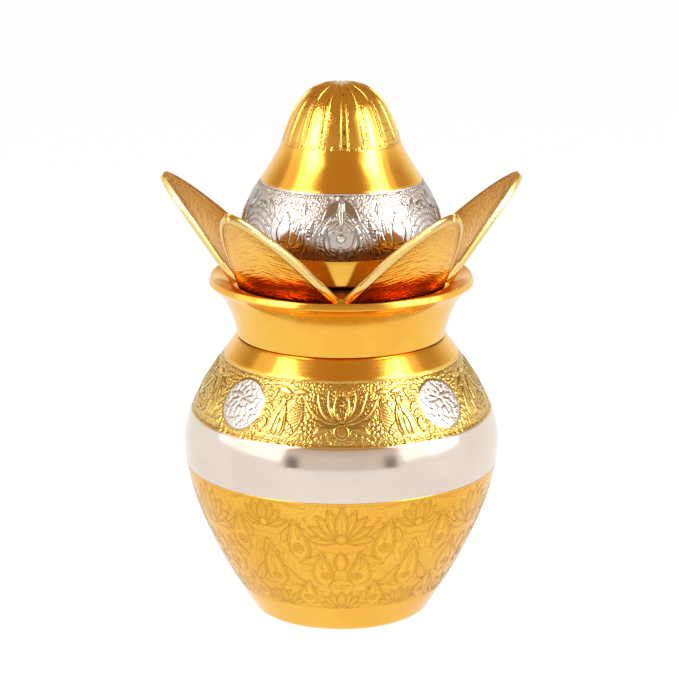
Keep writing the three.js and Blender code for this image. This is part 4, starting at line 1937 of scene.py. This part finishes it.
    def build(self, finishes: Finishes) -> None:
        """Makes the coconut's pieces and dresses them.

        Args:
            finishes: the materials.
        """
        outline = self.outline()
        frieze = Frieze("coconut_belly_frieze", self.stem_top, self.seam - self.seam_gap, rows=92,
                        columns=960, repeats=3, reference=26.0, ground=0.08, groove=0.12,
                        punch=0.10, pitch=0.52, brushed=0.04, ease=0.25)
        waist = plain_band("coconut_waist", outline, self.seam + self.seam_gap,
                           self.waist_height - 0.02, self.wall, eased=0.05)
        for piece, slot, node in (
            (self.stem(), Slot.GOLD_PLATE, "coconut_lower_shell"),
            (frieze.build(outline, self.wall, coconut_frieze), Slot.SILVER_ENGRAVED,
             "coconut_lower_shell"),
            (waist, Slot.GOLD_PLATE, "coconut_upper_shell"),
            (self.dome(), Slot.GOLD_ENGRAVED, "coconut_upper_shell"),
            (self.boss(), Slot.BARE_BRASS, "coconut_boss"),
            (self.stud(), Slot.BARE_BRASS, "lid_stud"),
        ):
            finishes.dress(piece, slot, Body.COCONUT, node)


def aim(holder: bpy.types.Object, target: Vector, azimuth: float, elevation: float,
        distance: float) -> None:
    """Stands a lamp or a camera off from a point that it faces, and adds it to the scene.

    Args:
        holder: the lamp or the camera.
        target: the point that it faces, in metres.
        azimuth: where it stands, in degrees from the front towards the viewer's right.
        elevation: how far it looks down, in degrees.
        distance: how far off it stands, in metres.
    """
    outward, up = direction(elevation)
    cosine, sine = direction(azimuth)
    away = Vector((sine * outward, -cosine * outward, up))
    holder.location = target + away * distance
    holder.rotation_euler = away.to_track_quat("Z", "Y").to_euler()
    bpy.context.scene.collection.objects.link(holder)


@dataclass(frozen=True)
class SoftBox:
    """A soft lamp that faces the middle of the object."""

    name: str
    azimuth: float
    elevation: float
    width: float
    height: float
    radiance: float
    distance: float = 1.0

    def build(self, target: Vector) -> None:
        """Makes the lamp.

        Args:
            target: the point that it faces, in metres.
        """
        lamp = bpy.data.lights.new(self.name, "AREA")
        lamp.shape = "RECTANGLE"
        lamp.size, lamp.size_y = self.width, self.height
        lamp.energy = self.radiance * math.pi * self.width * self.height
        holder = bpy.data.objects.new(self.name, lamp)
        holder.visible_camera = False
        aim(holder, target, self.azimuth, self.elevation, self.distance)


@dataclass(frozen=True)
class Studio:
    """The floor, the light and the camera.

    The surroundings pass from one colour to another between two rises, the sines of heights
    above the horizon, and two turns, the cosines of directions away from the camera's side.
    """

    elevation: float = 14.6
    target_height: float = 0.076
    distance: float = 0.783
    lens: float = 148.88
    sensor: float = 36.0
    shift_x: float = -0.00265
    shift_y: float = 0.00701
    floor_half: float = 8.0
    floor_share: float = 0.95
    floor_glow: float = 1.02
    paint: tuple = (0.86, 0.86, 0.86, 1.0)
    room: tuple = (0.78, 0.72, 0.66, 1.0)
    overhead: tuple = (0.48, 0.30, 0.14, 1.0)
    stand: tuple = (0.10, 0.09, 0.09, 1.0)
    rise: tuple = (0.24, 0.58)
    back_rise: tuple = (0.12, 0.46)
    back_turn: tuple = (-0.50, -0.15)
    front_turn: tuple = (0.68, 0.78)
    stand_in: tuple = (0.74, 0.78)
    stand_out: tuple = (0.84, 0.88)
    stand_rise: tuple = (0.16, 0.30)
    stand_share: float = 0.8
    lamps: tuple = (
        SoftBox("left_soft_box", -72.0, 27.0, 1.15, 0.82, 0.5),
        SoftBox("left_lamp_in_box", -60.0, 35.0, 0.62, 0.50, 2.2, 0.99),
        SoftBox("left_lamp_middle", -58.0, 36.0, 0.32, 0.34, 4.5, 0.98),
        SoftBox("right_soft_box", 68.0, 27.0, 0.92, 0.82, 0.5),
        SoftBox("right_lamp_in_box", 65.0, 35.0, 0.52, 0.48, 2.2, 0.99),
        SoftBox("right_lamp_middle", 62.0, 36.0, 0.32, 0.34, 8.0, 0.98),
        SoftBox("right_low_lamp", 80.0, 14.0, 0.42, 0.30, 2.5, 0.98),
    )

    def camera(self, target: Vector) -> None:
        """Makes the camera at the photograph's angle.

        Args:
            target: the point that it faces, in metres.
        """
        data = bpy.data.cameras.new("camera")
        data.lens, data.sensor_width = self.lens, self.sensor
        data.shift_x, data.shift_y = self.shift_x, self.shift_y
        data.clip_start, data.clip_end = 0.01, 100.0
        holder = bpy.data.objects.new("camera", data)
        aim(holder, target, 0.0, self.elevation, self.distance)
        bpy.context.scene.camera = holder

    def floor(self) -> None:
        """Makes the white floor, which keeps a faint shadow."""
        mesh = bpy.data.meshes.new("studio_floor")
        corners = [(x * self.floor_half, y * self.floor_half, 0.0)
                   for x, y in ((-1, -1), (1, -1), (1, 1), (-1, 1))]
        mesh.from_pydata(corners, [], [(0, 1, 2, 3)])
        piece = bpy.data.objects.new("studio_floor", mesh)
        bpy.context.scene.collection.objects.link(piece)
        material = bpy.data.materials.new("white studio floor")
        graph = Graph.fresh(material)
        path = graph.add("ShaderNodeLightPath").outputs
        seen = graph.larger(path["Is Camera Ray"], path["Is Glossy Ray"])
        seen = graph.larger(seen, path["Is Transmission Ray"])
        paint = graph.add("ShaderNodeBsdfDiffuse", {"Color": self.paint})
        glow = graph.add("ShaderNodeEmission", {"Color": WHITE, "Strength": self.floor_glow})
        blend = graph.add("ShaderNodeMixShader", {
            "Fac": graph.product(seen, self.floor_share),
            1: paint.outputs[0],
            2: glow.outputs[0],
        })
        graph.add("ShaderNodeOutputMaterial", {"Surface": blend.outputs[0]})
        mesh.materials.append(material)

    def world(self) -> None:
        """Makes the surroundings: white round the horizon, darker overhead and behind the camera."""
        world = bpy.data.worlds.new("studio")
        graph = Graph.fresh(world)
        parts = graph.parts(graph.place("Generated"))
        level = graph.larger(parts["Z"], 0.0)
        flat = graph.work_out("SQRT", graph.work_out("SUBTRACT", 1.0, graph.product(level, level)))
        toward = graph.work_out("DIVIDE", graph.product(parts["Y"], -1.0), graph.larger(flat, 0.05))
        sides = graph.mix(graph.between(level, *self.rise), WHITE, self.overhead)
        back = graph.mix(graph.between(level, *self.back_rise), WHITE, self.overhead)
        sides = graph.mix(graph.between(toward, *self.back_turn, 1.0, 0.0), sides, back)
        front = graph.mix(graph.between(level, *self.rise), self.room, self.overhead)
        stand = graph.product(graph.between(toward, *self.stand_in),
                              graph.between(toward, *self.stand_out, 1.0, 0.0))
        stand = graph.product(stand, graph.between(level, *self.stand_rise, self.stand_share, 0.0))
        sky = graph.mix(graph.between(toward, *self.front_turn), sides, front)
        sky = graph.mix(stand, sky, self.stand)
        glow = graph.add("ShaderNodeBackground", {"Color": sky, "Strength": 1.0})
        graph.add("ShaderNodeOutputWorld", {"Surface": glow.outputs[0]})
        bpy.context.scene.world = world

    def build(self) -> None:
        """Makes the whole studio."""
        target = Vector((0.0, 0.0, self.target_height))
        for lamp in self.lamps:
            lamp.build(target)
        self.camera(target)
        self.floor()
        self.world()
        bpy.context.scene.view_settings.view_transform = "Standard"


def main() -> None:
    """Builds the studio and the three sub-assemblies."""
    logging.basicConfig(level=logging.INFO, format="%(message)s")
    Studio().build()
    finishes = Finishes.make()
    for part in (Pot(), Crown(), Coconut()):
        part.build(finishes)


if __name__ == "__main__":
    main()
